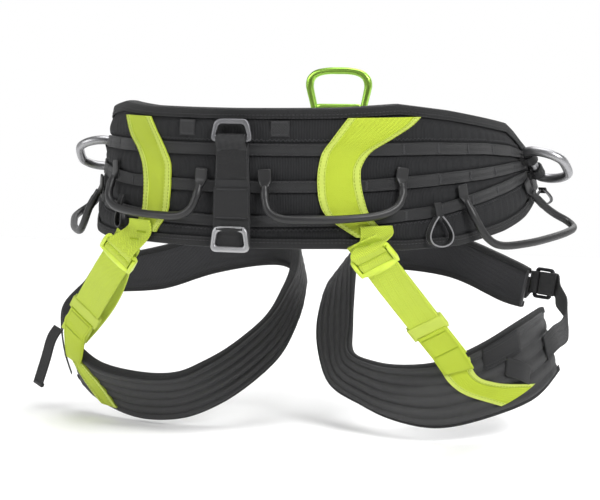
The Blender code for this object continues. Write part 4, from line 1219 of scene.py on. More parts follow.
def leg_binding(word):
    """Tape folded over both long edges of a leg loop."""
    for edge_name, share, inward in (("upper", 1.0, -1.0), ("lower", 0.0, 1.0)):
        rings = []
        for f in np.linspace(0.0, LEG_COUNT - 1.0, 150):
            low, high, _ = LEG_BANDS[word]
            across = unit(cubic(high, f) - cubic(low, f))
            ring = []
            for turn in np.linspace(-90.0, 90.0, 7):
                a = math.radians(turn)
                edge_point = band_at(word, f, share, 5.4 + 4.9 * math.sin(a))
                ring.append(edge_point - across * inward * 1.3 * math.cos(a))
            for shift, depth in ((2.2, 10.6), (5.2, 10.5), (5.6, 10.0), (5.2, 9.2), (1.0, 8.6),
                                 (1.0, 1.6), (4.6, 1.2), (4.8, 0.4), (2.4, 0.2)):
                ring.append(band_at(word, f, share, depth) + across * inward * shift)
            rings.append(ring)
        loft("leg_binding_%s_%s" % (word, edge_name), rings, LOOK["binding"], "leg_loop_" + word)
        line = []
        for f in np.linspace(0.3, LEG_COUNT - 1.3, 170):
            low, high, _ = LEG_BANDS[word]
            across = unit(cubic(high, f) - cubic(low, f))
            line.append(band_at(word, f, share, 10.8) + across * inward * 4.0)
        SEWN["leg_" + word].row(line, leg_up(word), 2.4, 1.2, 0.22)


def leg_trim(word):
    """Curved green reinforcement on the pad with lighter tapes along its edges."""
    rows = [np.array(r) for r in LEG_TRIM[word]]

    def at(s, t, depth):
        a, b, share_a, share_b = cubic(rows, s * (len(rows) - 1))
        return band_at(word, a + (b - a) * t, share_a + (share_b - share_a) * t, depth)

    cols = np.linspace(0.0, 1.0, 11)
    rings = []
    for s in np.linspace(0.0, 1.0, 61):
        ring = [at(s, t, 13.1 - 0.9 * max(0.0, 1.0 - min(t, 1.0 - t) / 0.05)) for t in cols]
        ring += [at(s, t, 11.4) for t in (1.0, 0.66, 0.33, 0.0)]
        rings.append(ring)
    across = [34.0 * t for t in cols] + [30.0, 20.0, 10.0, 0.0]
    piece = loft("leg_trim_%s_cloth" % word, rings, LOOK["green"], "leg_loop_" + word, False, across)
    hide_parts("leg_trim_" + word)
    for edge_name, side in (("inner", 0), ("outer", 1)):
        def place(s, a, h, side=side):
            span = max(float(np.linalg.norm(at(s, 1.0, 13.0) - at(s, 0.0, 13.0))), 8.0)
            width = min(6.0 / span, 0.48)
            t = width * (a * 0.5 + 0.5) if side == 0 else 1.0 - width * (0.5 - a * 0.5)
            return at(s, t, 13.0 + h)

        stations = list(np.linspace(0.01, 0.99, 64))
        strap("leg_trim_%s_%s_tape" % (word, edge_name), stations, place, 3.0, 0.7,
              LOOK["green_edge"], "leg_loop_" + word, lip=0.05)
        line = [place(s, 0.6 if side == 0 else -0.6, 0.85) for s in np.linspace(0.02, 0.98, 60)]
        SEWN["leg_green_" + word].row(line, leg_up(word), 2.4, 1.0, 0.32)


def build_belt():
    """Everything sewn to the waist belt."""
    waist_shell()
    waist_lining()
    binding("waist_binding_top_tape", top_edge, -1.0)
    binding("waist_binding_bottom_tape", bottom_edge, 1.0)
    belt_webbing()
    belt_seams()
    waist_patches()
    belt_trims()
    dorsal_strap()
    dorsal_rings()


def build_legs():
    """Both leg loops."""
    for word in ("right", "left"):
        leg_pad(word)
        leg_lining(word)
        leg_binding(word)
        leg_trim(word)


# ================================================================ free straps
def even_path(path, sides, step=2.6):
    """Smooth path at an even spacing with its side directions."""
    fine = np.array(smooth_path(path, 10))
    marks = np.linspace(0.0, len(path) - 1.0, len(fine))
    table = np.array([unit(s) for s in sides])
    walk = np.concatenate([[0.0], np.cumsum(np.linalg.norm(np.diff(fine, axis=0), axis=1))])
    count = max(3, int(walk[-1] / step) + 1)
    even, turned = [], []
    for s in np.linspace(0.0, walk[-1], count):
        mark = np.interp(s, walk, marks)
        even.append(np.array([np.interp(s, walk, fine[:, c]) for c in range(3)]))
        turned.append(unit([np.interp(mark, range(len(path)), table[:, c]) for c in range(3)]))
    return even, turned


def free_strap(name, path, sides, width, thick, facing, look, body, lip=0.12, bow=0.0):
    """Webbing along a free path whose front faces a direction; returns piece and placement."""
    path, sides = even_path(path, sides)
    total = len(path)
    normals = []
    for i in range(total):
        tangent = unit(path[min(i + 1, total - 1)] - path[max(i - 1, 0)])
        normal = unit(np.cross(tangent, sides[i]))
        if i == 0:
            if np.dot(normal, facing) < 0.0:
                normal = -normal
        elif np.dot(normal, normals[-1]) < 0.0:
            normal = -normal
        normals.append(normal)

    def place(i, s, h):
        i = int(i)
        dish = bow * (s * s - 0.5)
        return path[i] + sides[i] * width / 2 * s + normals[i] * (h + dish)

    piece = strap(name, range(total), place, width / 2, thick, LOOK[look], body, lip=lip)
    return piece, place, total, normals


def strap_seams(key, place, total, normals, thick, inset=0.84, stitch=2.4):
    """Two rows of stitches along the edges of a free strap."""
    table = np.array([place(i, 0.0, 0.0) for i in range(total)])

    def up(p):
        return normals[int(np.argmin(((table - p) ** 2).sum(axis=1)))]

    for s in (-inset, inset):
        SEWN[key].row([place(i, s, thick + 0.1) for i in range(total)], up, stitch, 1.2, 0.22)


# ================================================================ hip straps
HIP = {
    "right": {"lock": (131.0, -219.5, -75.0), "end": (183.0, -106.0, -188.0),
              "across": (0.93, 0.22, 0.30), "tab_u": 127.0, "width": 33.0},
    "left": {"lock": (-133.0, -211.0, -79.0), "end": (-243.0, -86.0, -190.0),
             "across": (0.80, -0.10, -0.50), "tab_u": -98.0, "width": 33.0},
}


# Where a hip strap ends on the leg trim: middle, then its two edges (station, share).
TRIM_FOOT = {
    "right": (34.15, 0.82, 33.2, 0.86, 35.0, 0.82),
    "left": (40.6, 0.84, 41.3, 0.78, 39.8, 0.90),
}


def hip_frame(data):
    """Across, down and outward directions of a hip strap."""
    down = unit(np.array(data["end"]) - np.array(data["lock"]))
    across = np.asarray(data["across"], float)
    across = unit(across - down * np.dot(across, down))
    out = np.cross(across, down)
    if out[1] > 0.0:
        out = -out
    return across, down, out


def rounded_rail(name, places, width, thick, centre, right, up, out, look, body):
    """Bar of rounded oblong section through local places (x, y, z)."""
    path = [centre + right * x + up * y + out * z for x, y, z in smooth_path(places, 6)]
    total = len(path)
    rings = []
    for i, p in enumerate(path):
        tangent = unit(path[min(i + 1, total - 1)] - path[max(i - 1, 0)])
        side = unit(np.cross(tangent, out))
        lift = unit(np.cross(side, tangent))
        ring = []
        end = min(i, total - 1 - i)
        shrink = (0.55, 0.85, 1.0)[min(end, 2)]
        for k in range(14):
            turn = 2.0 * math.pi * (k + 0.5) / 14
            c, s = math.cos(turn), math.sin(turn)
            c = math.copysign(abs(c) ** 0.6, c)
            s = math.copysign(abs(s) ** 0.6, s)
            ring.append(p + side * c * width / 2 * shrink + lift * s * thick / 2 * shrink)
        rings.append(ring)
    return loft(name, rings, LOOK[look], body)


def tongue(name, centre, across, down, out, half, body):
    """Smooth lower lip of the adjuster with a rounded free edge."""
    rows = []
    for t in np.linspace(0.0, 1.0, 15):
        rows.append(t)
    rings = []
    for x in np.linspace(-1.0, 1.0, 37):
        reach = 17.6 - 6.4 * abs(x) ** 2.6
        ring = []
        for t in rows:
            y = 6.2 + (reach - 6.2) * t
            z = 3.9 + 1.5 * math.sin(t * math.pi) * (1.0 - 0.5 * x * x) - 2.4 * t ** 4 + 0.8 * abs(x) ** 4
            ring.append(centre + across * half * x + down * y + out * z)
        for t in (1.0, 0.75, 0.4, 0.0):
            y = 6.2 + (reach - 6.8) * t
            z = 0.9 + 0.5 * math.sin(t * math.pi) - 0.3 * t
            ring.append(centre + across * half * x * 0.985 + down * y + out * z)
        rings.append(ring)
    return loft(name, rings, LOOK["green_plastic"], body)


def ladder_lock(word, data):
    """Moulded adjuster with raised rails, a bar, a lip and the webbing round its bar."""
    across, down, out = hip_frame(data)
    body = "ladder_lock_" + word
    centre = np.array(data["lock"]) + out * 1.4
    half = data["width"] / 2
    outline = refine_outline(trapezoid(2 * half + 8.0, 2 * half + 9.0, 26.0, 5.0, 3), 3)
    hole = refine_outline(trapezoid(2 * half + 1.6, 2 * half + 1.6, 14.0, 2.0, 3), 3)
    piece = ring_plate(body + "_frame", outline, hole, centre, across, -down, out, 4.6,
                       LOOK["green_plastic"], body, 3.4)
    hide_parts(body)
    for name, side in (("a", -1.0), ("b", 1.0)):
        x = side * (half + 2.5)
        places = [np.array(p) for p in ((x * 0.99, -12.0, 1.4), (x, -7.0, 3.0), (x, 0.0, 3.6),
                                        (x, 6.0, 3.2), (x * 0.99, 11.5, 1.4))]
        rounded_rail(body + "_rail_" + name, places, 4.0, 4.8, centre, across, -down, out,
                     "green_plastic", body)
    tongue(body + "_lip", centre, across, down, out, half + 3.4, body)
    places = [np.array((s * (half + 1.0), 1.6, -0.4)) for s in (-1.0, -0.3, 0.3, 1.0)]
    rounded_rail(body + "_bar", places, 4.4, 3.6, centre, across, -down, out, "green_plastic", body)
    wrap = [centre - down * y + out * z for y, z in
            ((-9.5, 0.2), (-5.0, 2.6), (0.0, 3.7), (3.6, 3.0), (5.4, 0.2), (3.8, -2.6), (0.0, -3.4),
             (-5.0, -3.0),
             (-11.0, -2.2))]
    free_strap(body + "_fold", wrap, [across] * len(wrap), data["width"] - 0.8, 1.5, out, "green_web", body)


def hip_straps():
    """Hip straps with tab, adjuster, doubled webbing, elastic keeper and sewn end."""
    for word, data in HIP.items():
        across, down, out = hip_frame(data)
        lock = np.array(data["lock"])
        u = data["tab_u"]
        along = belt_frame(u, -58.0)[0]
        top = belt_point(u - (0.0 if u > 0 else 2.0), -44.0, 18.0)
        mid = belt_point(u, -55.0, 19.6)
        bar = lock + out * 1.4 - down * 10.2
        path = [top, mid, bar - down * 8.0 + out * 4.6, bar - down * 2.0 + out * 4.1,
                bar + down * 3.2 + out * 2.6,
                bar + down * 4.6 - out * 0.4, bar + down * 2.6 - out * 3.6, bar - down * 4.0 - out * 4.4,
                bar - down * 14.0 - out * 3.2]
        sides = [along, unit(along * 0.7 + across * 0.3), unit(along * 0.3 + across * 0.7)] + [across] * 6
        piece, place, _, normals = free_strap("hip_tab_%s_web" % word, path, sides, data["width"] - 1.0,
                                                  1.6, out, "green_web", "harness")
        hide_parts("hip_tab_" + word)
        for i, wide in ((5, 26.0), (9, 26.0)):
            centre = place(i, 0.0, 1.75)
            SEWN["belt_green"].tack(centre, sides[0], unit(np.cross(normals[i], sides[0])), normals[i],
                                    wide, 2.0)
        ladder_lock(word, data)
        leg_strap(word, data, across, down, out)


def leg_strap(word, data, across, down, out):
    """Strap from the adjuster to the leg loop, laid between the two bodies on neither of them."""
    lock = np.array(data["lock"])
    end = np.array(data["end"])
    length = float(np.linalg.norm(end - lock))
    first, last = tuple((lock + down * 30.0) * MM), tuple((end - down * 10.0) * MM)
    bulge = 4.0 if word == "left" else 1.2

    def line(depth, marks, swell):
        return [lock + down * (6.0 + (length - 8.0) * s) + out * (depth + swell * math.sin(s * math.pi))
                for s in marks]

    marks = np.linspace(0.0, 1.0, 6)
    path = line(0.0, marks, bulge)
    path[0] = lock + down * 7.0 - out * 2.2
    piece, place, total, normals = free_strap("leg_strap_%s_web" % word, path, [across] * 6,
                                              data["width"], 1.9,
                                              out, "green_web", None, 0.16, 0.35)
    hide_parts("leg_strap_" + word)
    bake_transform(piece)
    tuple(first)
    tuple(last)
    under = line(-2.6, marks[:5] * 0.86, -1.0)
    if word == "left":
        under = line(-3.2, marks * 0.98, -9.0)
        under = [p + across * 5.0 * math.sin(s * math.pi) for p, s in zip(under, marks)]
    piece = free_strap("leg_strap_%s_tail" % word, under, [across] * len(under), data["width"] - 1.0, 1.6,
                       out,
                       "green_web", None)[0]
    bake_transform(piece)
    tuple(first)
    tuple(last)
    marks = (0.60, 0.66, 0.72)
    keeper = wrap_band("leg_strap_keeper_%s_elastic" % word, lock, length, across, down, out, marks,
                       data["width"] + 0.4, bulge)
    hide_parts("leg_strap_keeper_" + word)
    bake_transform(keeper)
    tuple(first)
    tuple(last)
    marks = (0.70, 0.79, 0.90)
    path = [lock + down * (6.0 + (length - 8.0) * s) 
            + out * (2.5 + bulge * math.sin(s * math.pi)) for s in marks]
    foot = TRIM_FOOT[word]
    path.append(band_at(word, foot[0], foot[1], 15.2))
    way = unit(band_at(word, foot[2], foot[3], 14.0) - band_at(word, foot[4], foot[5], 14.0))
    way = way if np.dot(way, across) > 0.0 else -way
    piece, place, total, normals = free_strap("leg_strap_%s_sewn_end" % word, path, [across] * 3 + [way],
                                              data["width"] - 1.5, 1.4, out, "green", None)
    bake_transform(piece)
    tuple(first)
    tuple(last)
    tacks = Threads("leg_strap_%s_tacks" % word, "thread_green", None)
    for i in (2, total // 2):
        tacks.tack(place(i, 0.0, 1.55), across, down, normals[i], data["width"] - 6.0, 2.2)
    for s in (-0.82, 0.82):
        tacks.row([place(i, s, 1.55) for i in range(total)], out, 2.2, 0.9, 0.22)
    tacks.make()
    stitched = bpy.data.objects["leg_strap_%s_tacks" % word]
    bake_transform(stitched)
    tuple(first)
    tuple(last)


def wrap_band(name, lock, length, across, down, out, marks, width, bulge):
    """Band of elastic closed round the doubled strap."""
    half, t = width / 2, 0.5
    low, high = -3.0, 2.5
    profile = []
    for x, z in ((-half, low), (half, low), (half + t, 0.0), (half, high), (-half, high), (-half - t, 0.0)):
        profile.append((x, z))
    rings = []
    for s in np.linspace(marks[0], marks[-1], 9):
        core = lock + down * (6.0 + (length - 8.0) * s) + out * bulge * math.sin(s * math.pi)
        end = 0.0 if marks[0] + 0.01 < s < marks[-1] - 0.01 else 0.25
        ring = []
        for p in smooth_path([np.array((a, b, 0.0)) for a, b in profile], 5, True):
            ring.append(core + across * p[0] * (1.0 - end * 0.02) + out * (p[1] - end * np.sign(p[1])))
        rings.append(ring)
    return loft(name, rings, LOOK["green_elastic"], None)


# ================================================================ leg closures
LEG_CLOSURE = {
    "right": {
        "start": (40.3, 41.9), "depth": 14.2,
        "points": ((272.0, 40.0, -176.0), (270.0, 58.0, -158.0), (258.0, 76.0, -145.0)),
        "sides": ((-0.25, 0.25, 0.93), (-0.05, 0.35, 0.94), (0.10, 0.25, 0.96)),
        "buckle": (239.0, 93.0, -135.0), "toward": (-0.90, 0.43, 0.04), "up": (0.16, 0.12, 0.98),
    },
    "left": {
        "start": (41.5, 42.0), "depth": 16.5,
        "points": ((-292.0, -8.0, -203.0), (-301.0, 18.0, -182.0), (-288.0, 46.0, -160.0)),
        "sides": ((0.05, -0.30, 0.95), (-0.10, 0.30, 0.95), (-0.10, 0.30, 0.95)),
        "buckle": (-270.0, 70.0, -147.0), "toward": (0.76, 0.62, 0.10), "up": (-0.10, 0.02, 0.99),
    },
}
CLOSURE_WIDTH = 25.0
TAIL_LEFT = ((-289.0, -40.0, -202.0), (-296.0, -42.0, -226.0), (-305.0, -44.0, -254.0))


def closures():
    """Closing strap, buckle frame and bar of each leg loop."""
    for word, data in LEG_CLOSURE.items():
        body = "leg_loop_" + word
        first = [band_at(word, f, 0.5, data["depth"]) for f in data["start"]]
        low, high, _ = LEG_BANDS[word]
        sides = [unit(high[int(f)] - low[int(f)]) for f in data["start"]]
        centre = np.array(data["buckle"])
        toward = unit(data["toward"])
        up = unit(np.array(data["up"]) - toward * np.dot(data["up"], toward))
        out = unit(np.cross(up, toward))
        if np.dot(out, centre * (1.0, 1.0, 0.0)) < 0.0:
            out = -out
        hub = centre + out * 1.0
        path = first + [np.array(p) for p in data["points"]]
        path += [hub - toward * 15.0 + out * 2.2, hub - toward * 5.0 + out * 3.2, hub + out * 3.4,
                 hub + toward * 4.4, hub - out * 3.4, hub - toward * 8.0 - out * 3.6,
                 hub - toward * 17.0 - out * 2.6]
        sides = sides + [np.array(v) for v in data["sides"]] + [up] * 7
        start_out = unit(first[0] - centre * (0.5, 0.0, 1.0))
        piece, place, total, normals = free_strap("leg_closure_%s_web" % word, path, sides, CLOSURE_WIDTH,
                                                  1.6,
                                                  start_out, "web_fine", body)
        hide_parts("leg_closure_strap_" + word)
        strap_seams("leg_" + word, place, total, normals, 1.6)
        outline = refine_outline(trapezoid(34.0, 34.0, 24.0, 5.0, 3), 3)
        hole = refine_outline(trapezoid(26.4, 26.4, 16.0, 2.4, 3), 3)
        piece = ring_plate("leg_buckle_%s_frame" % word, outline, hole, hub, up, toward, out, 3.6,
                           LOOK["dark_metal"], body, 2.8)
        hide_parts("leg_buckle_frame_" + word)
        places = [np.array((s * 12.4, 0.0, 0.0)) for s in (-1.0, -0.4, 0.4, 1.0)]
        piece = rounded_rail("leg_buckle_%s_bar" % word, places, 4.4, 2.3, hub, up, toward, out,
                             "dark_metal",
                             "leg_buckle_bar_" + word)
        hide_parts("leg_buckle_bar_" + word)
        near = [band_at(word, f, 0.5, 11.6) for f in (2.4, 1.2, 0.0)]
        far = hub + toward * 9.8
        path = near + [far + toward * 6.0 + out * 2.6, far + out * 2.9, far - toward * 3.2, far - out * 2.9,
                       far + toward * 6.0 - out * 2.4]
        flats = [unit(high[int(f)] - low[int(f)]) for f in (2, 1, 0)] + [up] * 5
        free_strap("leg_buckle_%s_tab" % word, path, flats, CLOSURE_WIDTH - 0.6, 1.4, out,
                   "web_fine", body)


def keeper_panel():
    """Cloth panel sewn on the right pad and the folded webbing under it."""
    def at(s, t, depth):
        return band_at("right", 35.7 + 2.7 * s, 0.97 - 0.30 * t, depth)

    rings = []
    for t in np.linspace(0.0, 1.0, 15):
        ring = [at(s, t, 13.2 + 0.5 * math.sin(s * math.pi) - 0.6 * (min(s, 1 - s) < 0.02))
                for s in np.linspace(0, 1, 15)]
        ring += [at(s, t, 11.6) for s in (1.0, 0.5, 0.0)]
        rings.append(ring)
    across = list(np.linspace(0.0, 44.0, 15)) + [40.0, 20.0, 0.0]
    piece = loft("leg_keeper_panel_cloth", rings, LOOK["label"], "leg_loop_right", False, across)
    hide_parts("leg_keeper_panel_right")
    for t in (0.06, 0.94):
        points = [at(s, t, 13.9) for s in np.linspace(0.03, 0.97, 30)]
        SEWN["leg_right"].zigzag(points, [leg_up("right")(p) for p in points], 2.4, 1.7, 0.24)
    for t in (0.2, 0.8):
        points = [at(s, t, 13.9) for s in np.linspace(0.03, 0.97, 30)]
        SEWN["leg_right"].row(points, leg_up("right"), 2.2, 1.0, 0.22)
    low, high, _ = LEG_BANDS["right"]
    place = [band_at("right", 37.1 + 0.5 * k, 0.60 - 0.09 * k,
                     12.0 + (0.0, 3.4, 3.8, 0.6)[k]) for k in range(4)]
    sides = [unit(high[37] - low[37] + 22.0 * unit(low[39] - low[36]))] * 4
    free_strap("leg_keeper_block_fold", place, sides, 20.0, 1.8, leg_up("right")(place[0]), "web",
               "leg_loop_right")


def left_tail():
    """Loose end of the left closing strap with a folded stop."""
    path = [np.array(p) for p in TAIL_LEFT]
    side = unit((0.80, -0.55, -0.2))
    start = [np.array((-283.0, -34.0, -190.0))]
    piece = free_strap("leg_tail_left_web", start + path, [side] * 4, 18.0, 1.7,
                       np.array((-0.6, -0.8, 0.0)),
                       "web_fine", "leg_loop_left")[0]
    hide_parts("leg_tail_left")
    down = unit(path[2] - path[1])
    out = unit(np.cross(side, down))
    if out[1] > 0.0:
        out = -out
    places = [np.array((s * 9.0, 0.0, 0.0)) for s in (-1.0, -0.4, 0.4, 1.0)]
    rounded_rail("leg_tail_left_stop", places, 5.0, 4.6, path[2] - down * 2.4, side, down, out,
                 "black_plastic",
                 "leg_loop_left")


# ================================================================ rings and loops
LATERAL_UP = {1.0: (321.0, 18.0), -1.0: (310.0, 20.0)}
LATERAL_LOW = {1.0: (350.0, -9.0), -1.0: (338.0, -8.0)}
LATERAL_STAND = {1.0: 23.0, -1.0: 23.5}
LATERAL_TILT = (0.0, -0.38, 0.12)


def lateral_frame(side):
    """Centre, bar direction and outward direction of a side ring."""
    high, low, stand = LATERAL_UP[side], LATERAL_LOW[side], LATERAL_STAND[side]
    a = belt_point(side * high[0], high[1], stand)
    b = belt_point(side * low[0], low[1], stand)
    bar = unit(a - b)
    out = belt_frame(side * 340.0, 4.0)[2]
    out = unit(out + np.array(LATERAL_TILT))
    out = unit(out - bar * np.dot(out, bar))
    return (a + b) / 2, bar, out


def lateral_rings():
    """Forged side rings with two sewn loops round the straight bar of each."""
    for word, side in (("right", 1.0), ("left", -1.0)):
        centre, bar, out = lateral_frame(side)
        face = np.cross(bar, out)
        arc = [(22.5, 5.0), (23.0, 13.0), (21.0, 22.5), (16.5, 31.0), (9.0, 36.5)]
        outline = [(-19.5, 0.0), (-7.0, 0.0), (7.0, 0.0), (19.5, 0.0)] + arc
        outline += [(-a, b) for a, b in reversed(arc)]
        path = smooth_path([centre + bar * a + out * b for a, b in outline], 6, True)
        piece = round_path(path, 4.6, 20, "lateral_ring_%s_forged" % word, LOOK["grey_metal"],
                           "lateral_ring_" + word, True, face, 1.08)
        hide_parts("lateral_ring_" + word)
        u = side * (LATERAL_UP[side][0] + LATERAL_LOW[side][0]) / 2
        inward = -belt_frame(u, 4.0)[2]
        for end, shift in (("upper", 11.5), ("lower", -11.5)):
            hub = centre + bar * shift
            path = []
            for turn in np.linspace(math.radians(-125.0), math.radians(125.0), 13):
                path.append(hub + (out * math.cos(turn) + face * math.sin(turn)) * 5.5)
            tail_a = path[0] + inward * 4.5 - face * 2.0
            tail_b = path[-1] + inward * 4.5 + face * 2.0
            path = [tail_a] + path + [tail_b]
            name = "lateral_ring_%s_loop_%s" % (word, end)
            piece, place, total, normals = free_strap(name + "_web", path, [bar] * len(path), 11.6, 1.9,
                                                      -face, "web_fine", "harness")
            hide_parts(name)
            for i in (total // 2 - 3, total // 2 + 3):
                SEWN["belt"].tack(place(i, 0.0, 2.1), unit(place(i + 1, 0, 0) - place(i, 0, 0)), bar,
                                  normals[i],
                                  1.8, 8.5, 0.22)


def gear_loop_path(kind, side):
    """Control points of one moulded gear loop."""
    if kind == "rear":
        places = (
            (30.0, -6.0, 20.0), (31.0, -18.0, 24.0), (35.0, -29.0, 27.0), (46.0, -35.5, 28.0),
            (68.0, -36.5, 28.0), (98.0, -36.0, 28.0), (125.0, -33.5, 28.0), (142.0, -27.0, 27.0),
            (150.0, -16.0, 24.0), (152.0, -5.0, 20.0),
        )
        return [belt_point(side * u, v, n) for u, v, n in places]
    places = (
        (218.0, -24.0, 20.0), (222.0, -42.0, 27.0), (231.0, -60.0, 30.0), (246.0, -68.5, 32.0),
        (275.0, -68.5, 38.0), (305.0, -66.0, 44.0), (330.0, -63.0, 50.0), (346.0, -60.0, 51.0),
        (350.0, -54.0, 44.0), (344.0, -47.0, 35.0), (335.0, -38.0, 28.0), (326.0, -24.0, 20.0),
    )
    reach = 1.0 if side > 0 else 0.93
    return [belt_point(side * u * reach, v, n) for u, v, n in places]


def gear_loops():
    """Moulded gear loops with thickened middles and sewn end tabs."""
    for kind in ("rear", "side"):
        for word, side in (("right", 1.0), ("left", -1.0)):
            control = gear_loop_path(kind, side)
            path = smooth_path(control, 8)
            body = "gear_loop_%s_%s" % (kind, word)
            total = len(path)
            sizes = []
            for i in range(total):
                end = min(i, total - 1 - i)
                sizes.append(3.3 + 0.6 * min(end / 10.0, 1.0) + 0.5 * (3 < end < 8))
            piece = round_path(path, sizes, 16, body + "_moulding", LOOK["black_plastic"], body, False)
            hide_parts(body)
            for end, near, ahead in (("a", path[0], path[5]), ("b", path[-1], path[-6])):
                loop_tab(body + "_tab_" + end, near, ahead)


def loop_tab(name, near, ahead):
    """Flat sewn foot of a gear loop, rising from its end."""
    here = unit((near[0] / 210.0 ** 2, near[1] / 235.0 ** 2, 0.0))
    rise = unit(near - ahead)
    rise = unit(rise - here * np.dot(rise, here) * 0.9)
    side = unit(np.cross(rise, here))
    base = near - here * 3.6
    rings = []
    for s in np.linspace(0.0, 1.0, 13):
        y = -3.0 + 19.0 * s
        half = 3.4 + 2.9 * min(max((s - 0.08) / 0.35, 0.0), 1.0)
        thick = 6.6 - 4.2 * min(s / 0.4, 1.0)
        half *= 1.0 if s < 0.97 else 0.86
        ring = []
        for k in range(16):
            turn = 2.0 * math.pi * (k + 0.5) / 16
            c, q = math.cos(turn), math.sin(turn)
            c = math.copysign(abs(c) ** 0.45, c)
            q = math.copysign(abs(q) ** 0.45, q)
            ring.append(base + rise * y + side * half * c + here * (thick / 2 + q * thick / 2 + 0.1))
        rings.append(ring)
    loft(name, rings, LOOK["black_plastic"], "harness")


def tape_drop(name, node, centre, right, up, out, width, height, tape, look, edge_look=None, reach=13.0):
    """Drop shaped loop of folded tape with a stem that reaches up under the binding."""
    places = (
        (-0.08, 0.5), (-0.3, 0.25), (-0.5, -0.12), (-0.42, -0.38), (-0.15, -0.5),
        (0.15, -0.5), (0.42, -0.38), (0.5, -0.12), (0.3, 0.25), (0.08, 0.5),
    )
    path = [centre + right * x * width + up * y * height for x, y in places]
    middle = centre - up * 2.0
    piece = free_strap(name, path, [out] * len(path), tape, 1.5, unit(path[0] - middle), look, "harness")[0]
    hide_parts(node)
    if edge_look:
        for word, shift in (("front", 0.5), ("rear", -0.5)):
            line = [p + out * tape * shift + unit(p - middle) * 0.8 for p in smooth_path(path, 5)]
            round_path(line, 0.75, 8, name + "_edge_" + word, LOOK[edge_look], "harness", False)
    head = centre + up * height * 0.5
    stem = [head - up * 3.0, head + up * 0.3 * reach, head + up * reach - out * (tape * 0.4)]
    free_strap(name + "_stem", stem, [right] * 3, 8.0, 2.0, out, look, "harness")


def tool_loops():
    """Loops for small tools at the right and the clip loop at the left."""
    along, up, out = belt_frame(185.0, -50.0)
    tape_drop("tool_loop_drop_tape", "tool_loop_drop_right", belt_point(186.0, -51.0, 21.5), along, up, out,
              24.0, 27.0, 7.0, "web_fine", "light_metal_tape")
    along, up, out = belt_frame(340.0, -28.0)
    tape_drop("tool_loop_side_tape", "tool_loop_side_right", belt_point(346.0, -29.5, 25.0), out, up, along,
              14.0, 13.0, 6.0, "web_fine", "light_metal_tape", 1.5)
    along, up, out = belt_frame(-130.0, -42.0)
    tape_drop("tool_clip_left_tape", "tool_clip_left", belt_point(-131.0, -44.0, 20.0), along, up, out,
              12.0, 18.0, 5.0, "black_plastic")


# ================================================================ front
FRONT_V = ((362.0, -10.0), (430.0, -2.0), (520.0, 8.0), (640.0, 8.0))
FRONT_HALF = 15.0
RING_X = -3.0
RING_Y = 122.0
RING_LOW = 34.0
RING_BAR = 54.0
RING_TOP = 99.0


def front_height(u):
    """Middle height of a front strap."""
    return float(np.interp(abs(u), [p[0] for p in FRONT_V], [p[1] for p in FRONT_V]))


def front():
    """Front straps with their buckles and the webbing folded round each buckle bar."""
    for word, side, end in (("right", 1.0, FRONT_RIGHT - 27.0), ("left", -1.0, -FRONT_LEFT - 24.0)):
        stations = list(np.linspace(350.0 * side, end * side, 110))

        def place(u, s, h):
            return belt_point(u, front_height(u) + FRONT_HALF * s, 13.0 + h + 0.5 * math.sin(u * 0.05))

        piece = strap("front_strap_%s_web" % word, stations, place, FRONT_HALF, 1.7, LOOK["web"], "harness")
        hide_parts("front_strap_" + word)
        for s in (-0.86, 0.86):
            us = np.linspace(354.0 * side, (end - 4.0) * side, 90)
            belt_row("belt", us, [front_height(u) + FRONT_HALF * s for u in us], 15.1, 2.6, 1.3, 0.22)
        u = side * (455.0 if side > 0 else 425.0)
        v = front_height(u)
        along, up, out = belt_frame(u, v)
        centre = belt_point(u, v, 19.0)
        outline = refine_outline(trapezoid(40.0, 40.0, 34.0, 6.0, 3), 3)
        hole = refine_outline(trapezoid(32.5, 32.5, 22.0, 3.0, 3), 3)
        piece = ring_plate("waist_buckle_%s_frame" % word, outline, hole, centre, up, along, out, 4.0,
                           LOOK["dark_metal"], "harness", 2.8)
        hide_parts("waist_buckle_" + word)
        places = [np.array((s * 16.0, 0.0, 0.0)) for s in (-1.0, -0.4, 0.4, 1.0)]
        rounded_rail("waist_buckle_%s_bar" % word, places, 6.0, 2.4, centre, up, along, out, "dark_metal",
                     "harness")
        fold = [centre + along * a + out * b for a, b in
                ((-26.0, -3.2), (-17.5, 0.2), (-12.0, 3.6), (-4.0, 2.6), (0.0, 2.2), (4.2, 0.0),
                 (0.0, -2.4), (-10.0, -2.9))]
        free_strap("waist_buckle_%s_fold" % word, fold, [up] * 8, 29.0, 1.6, out, "web", "harness")


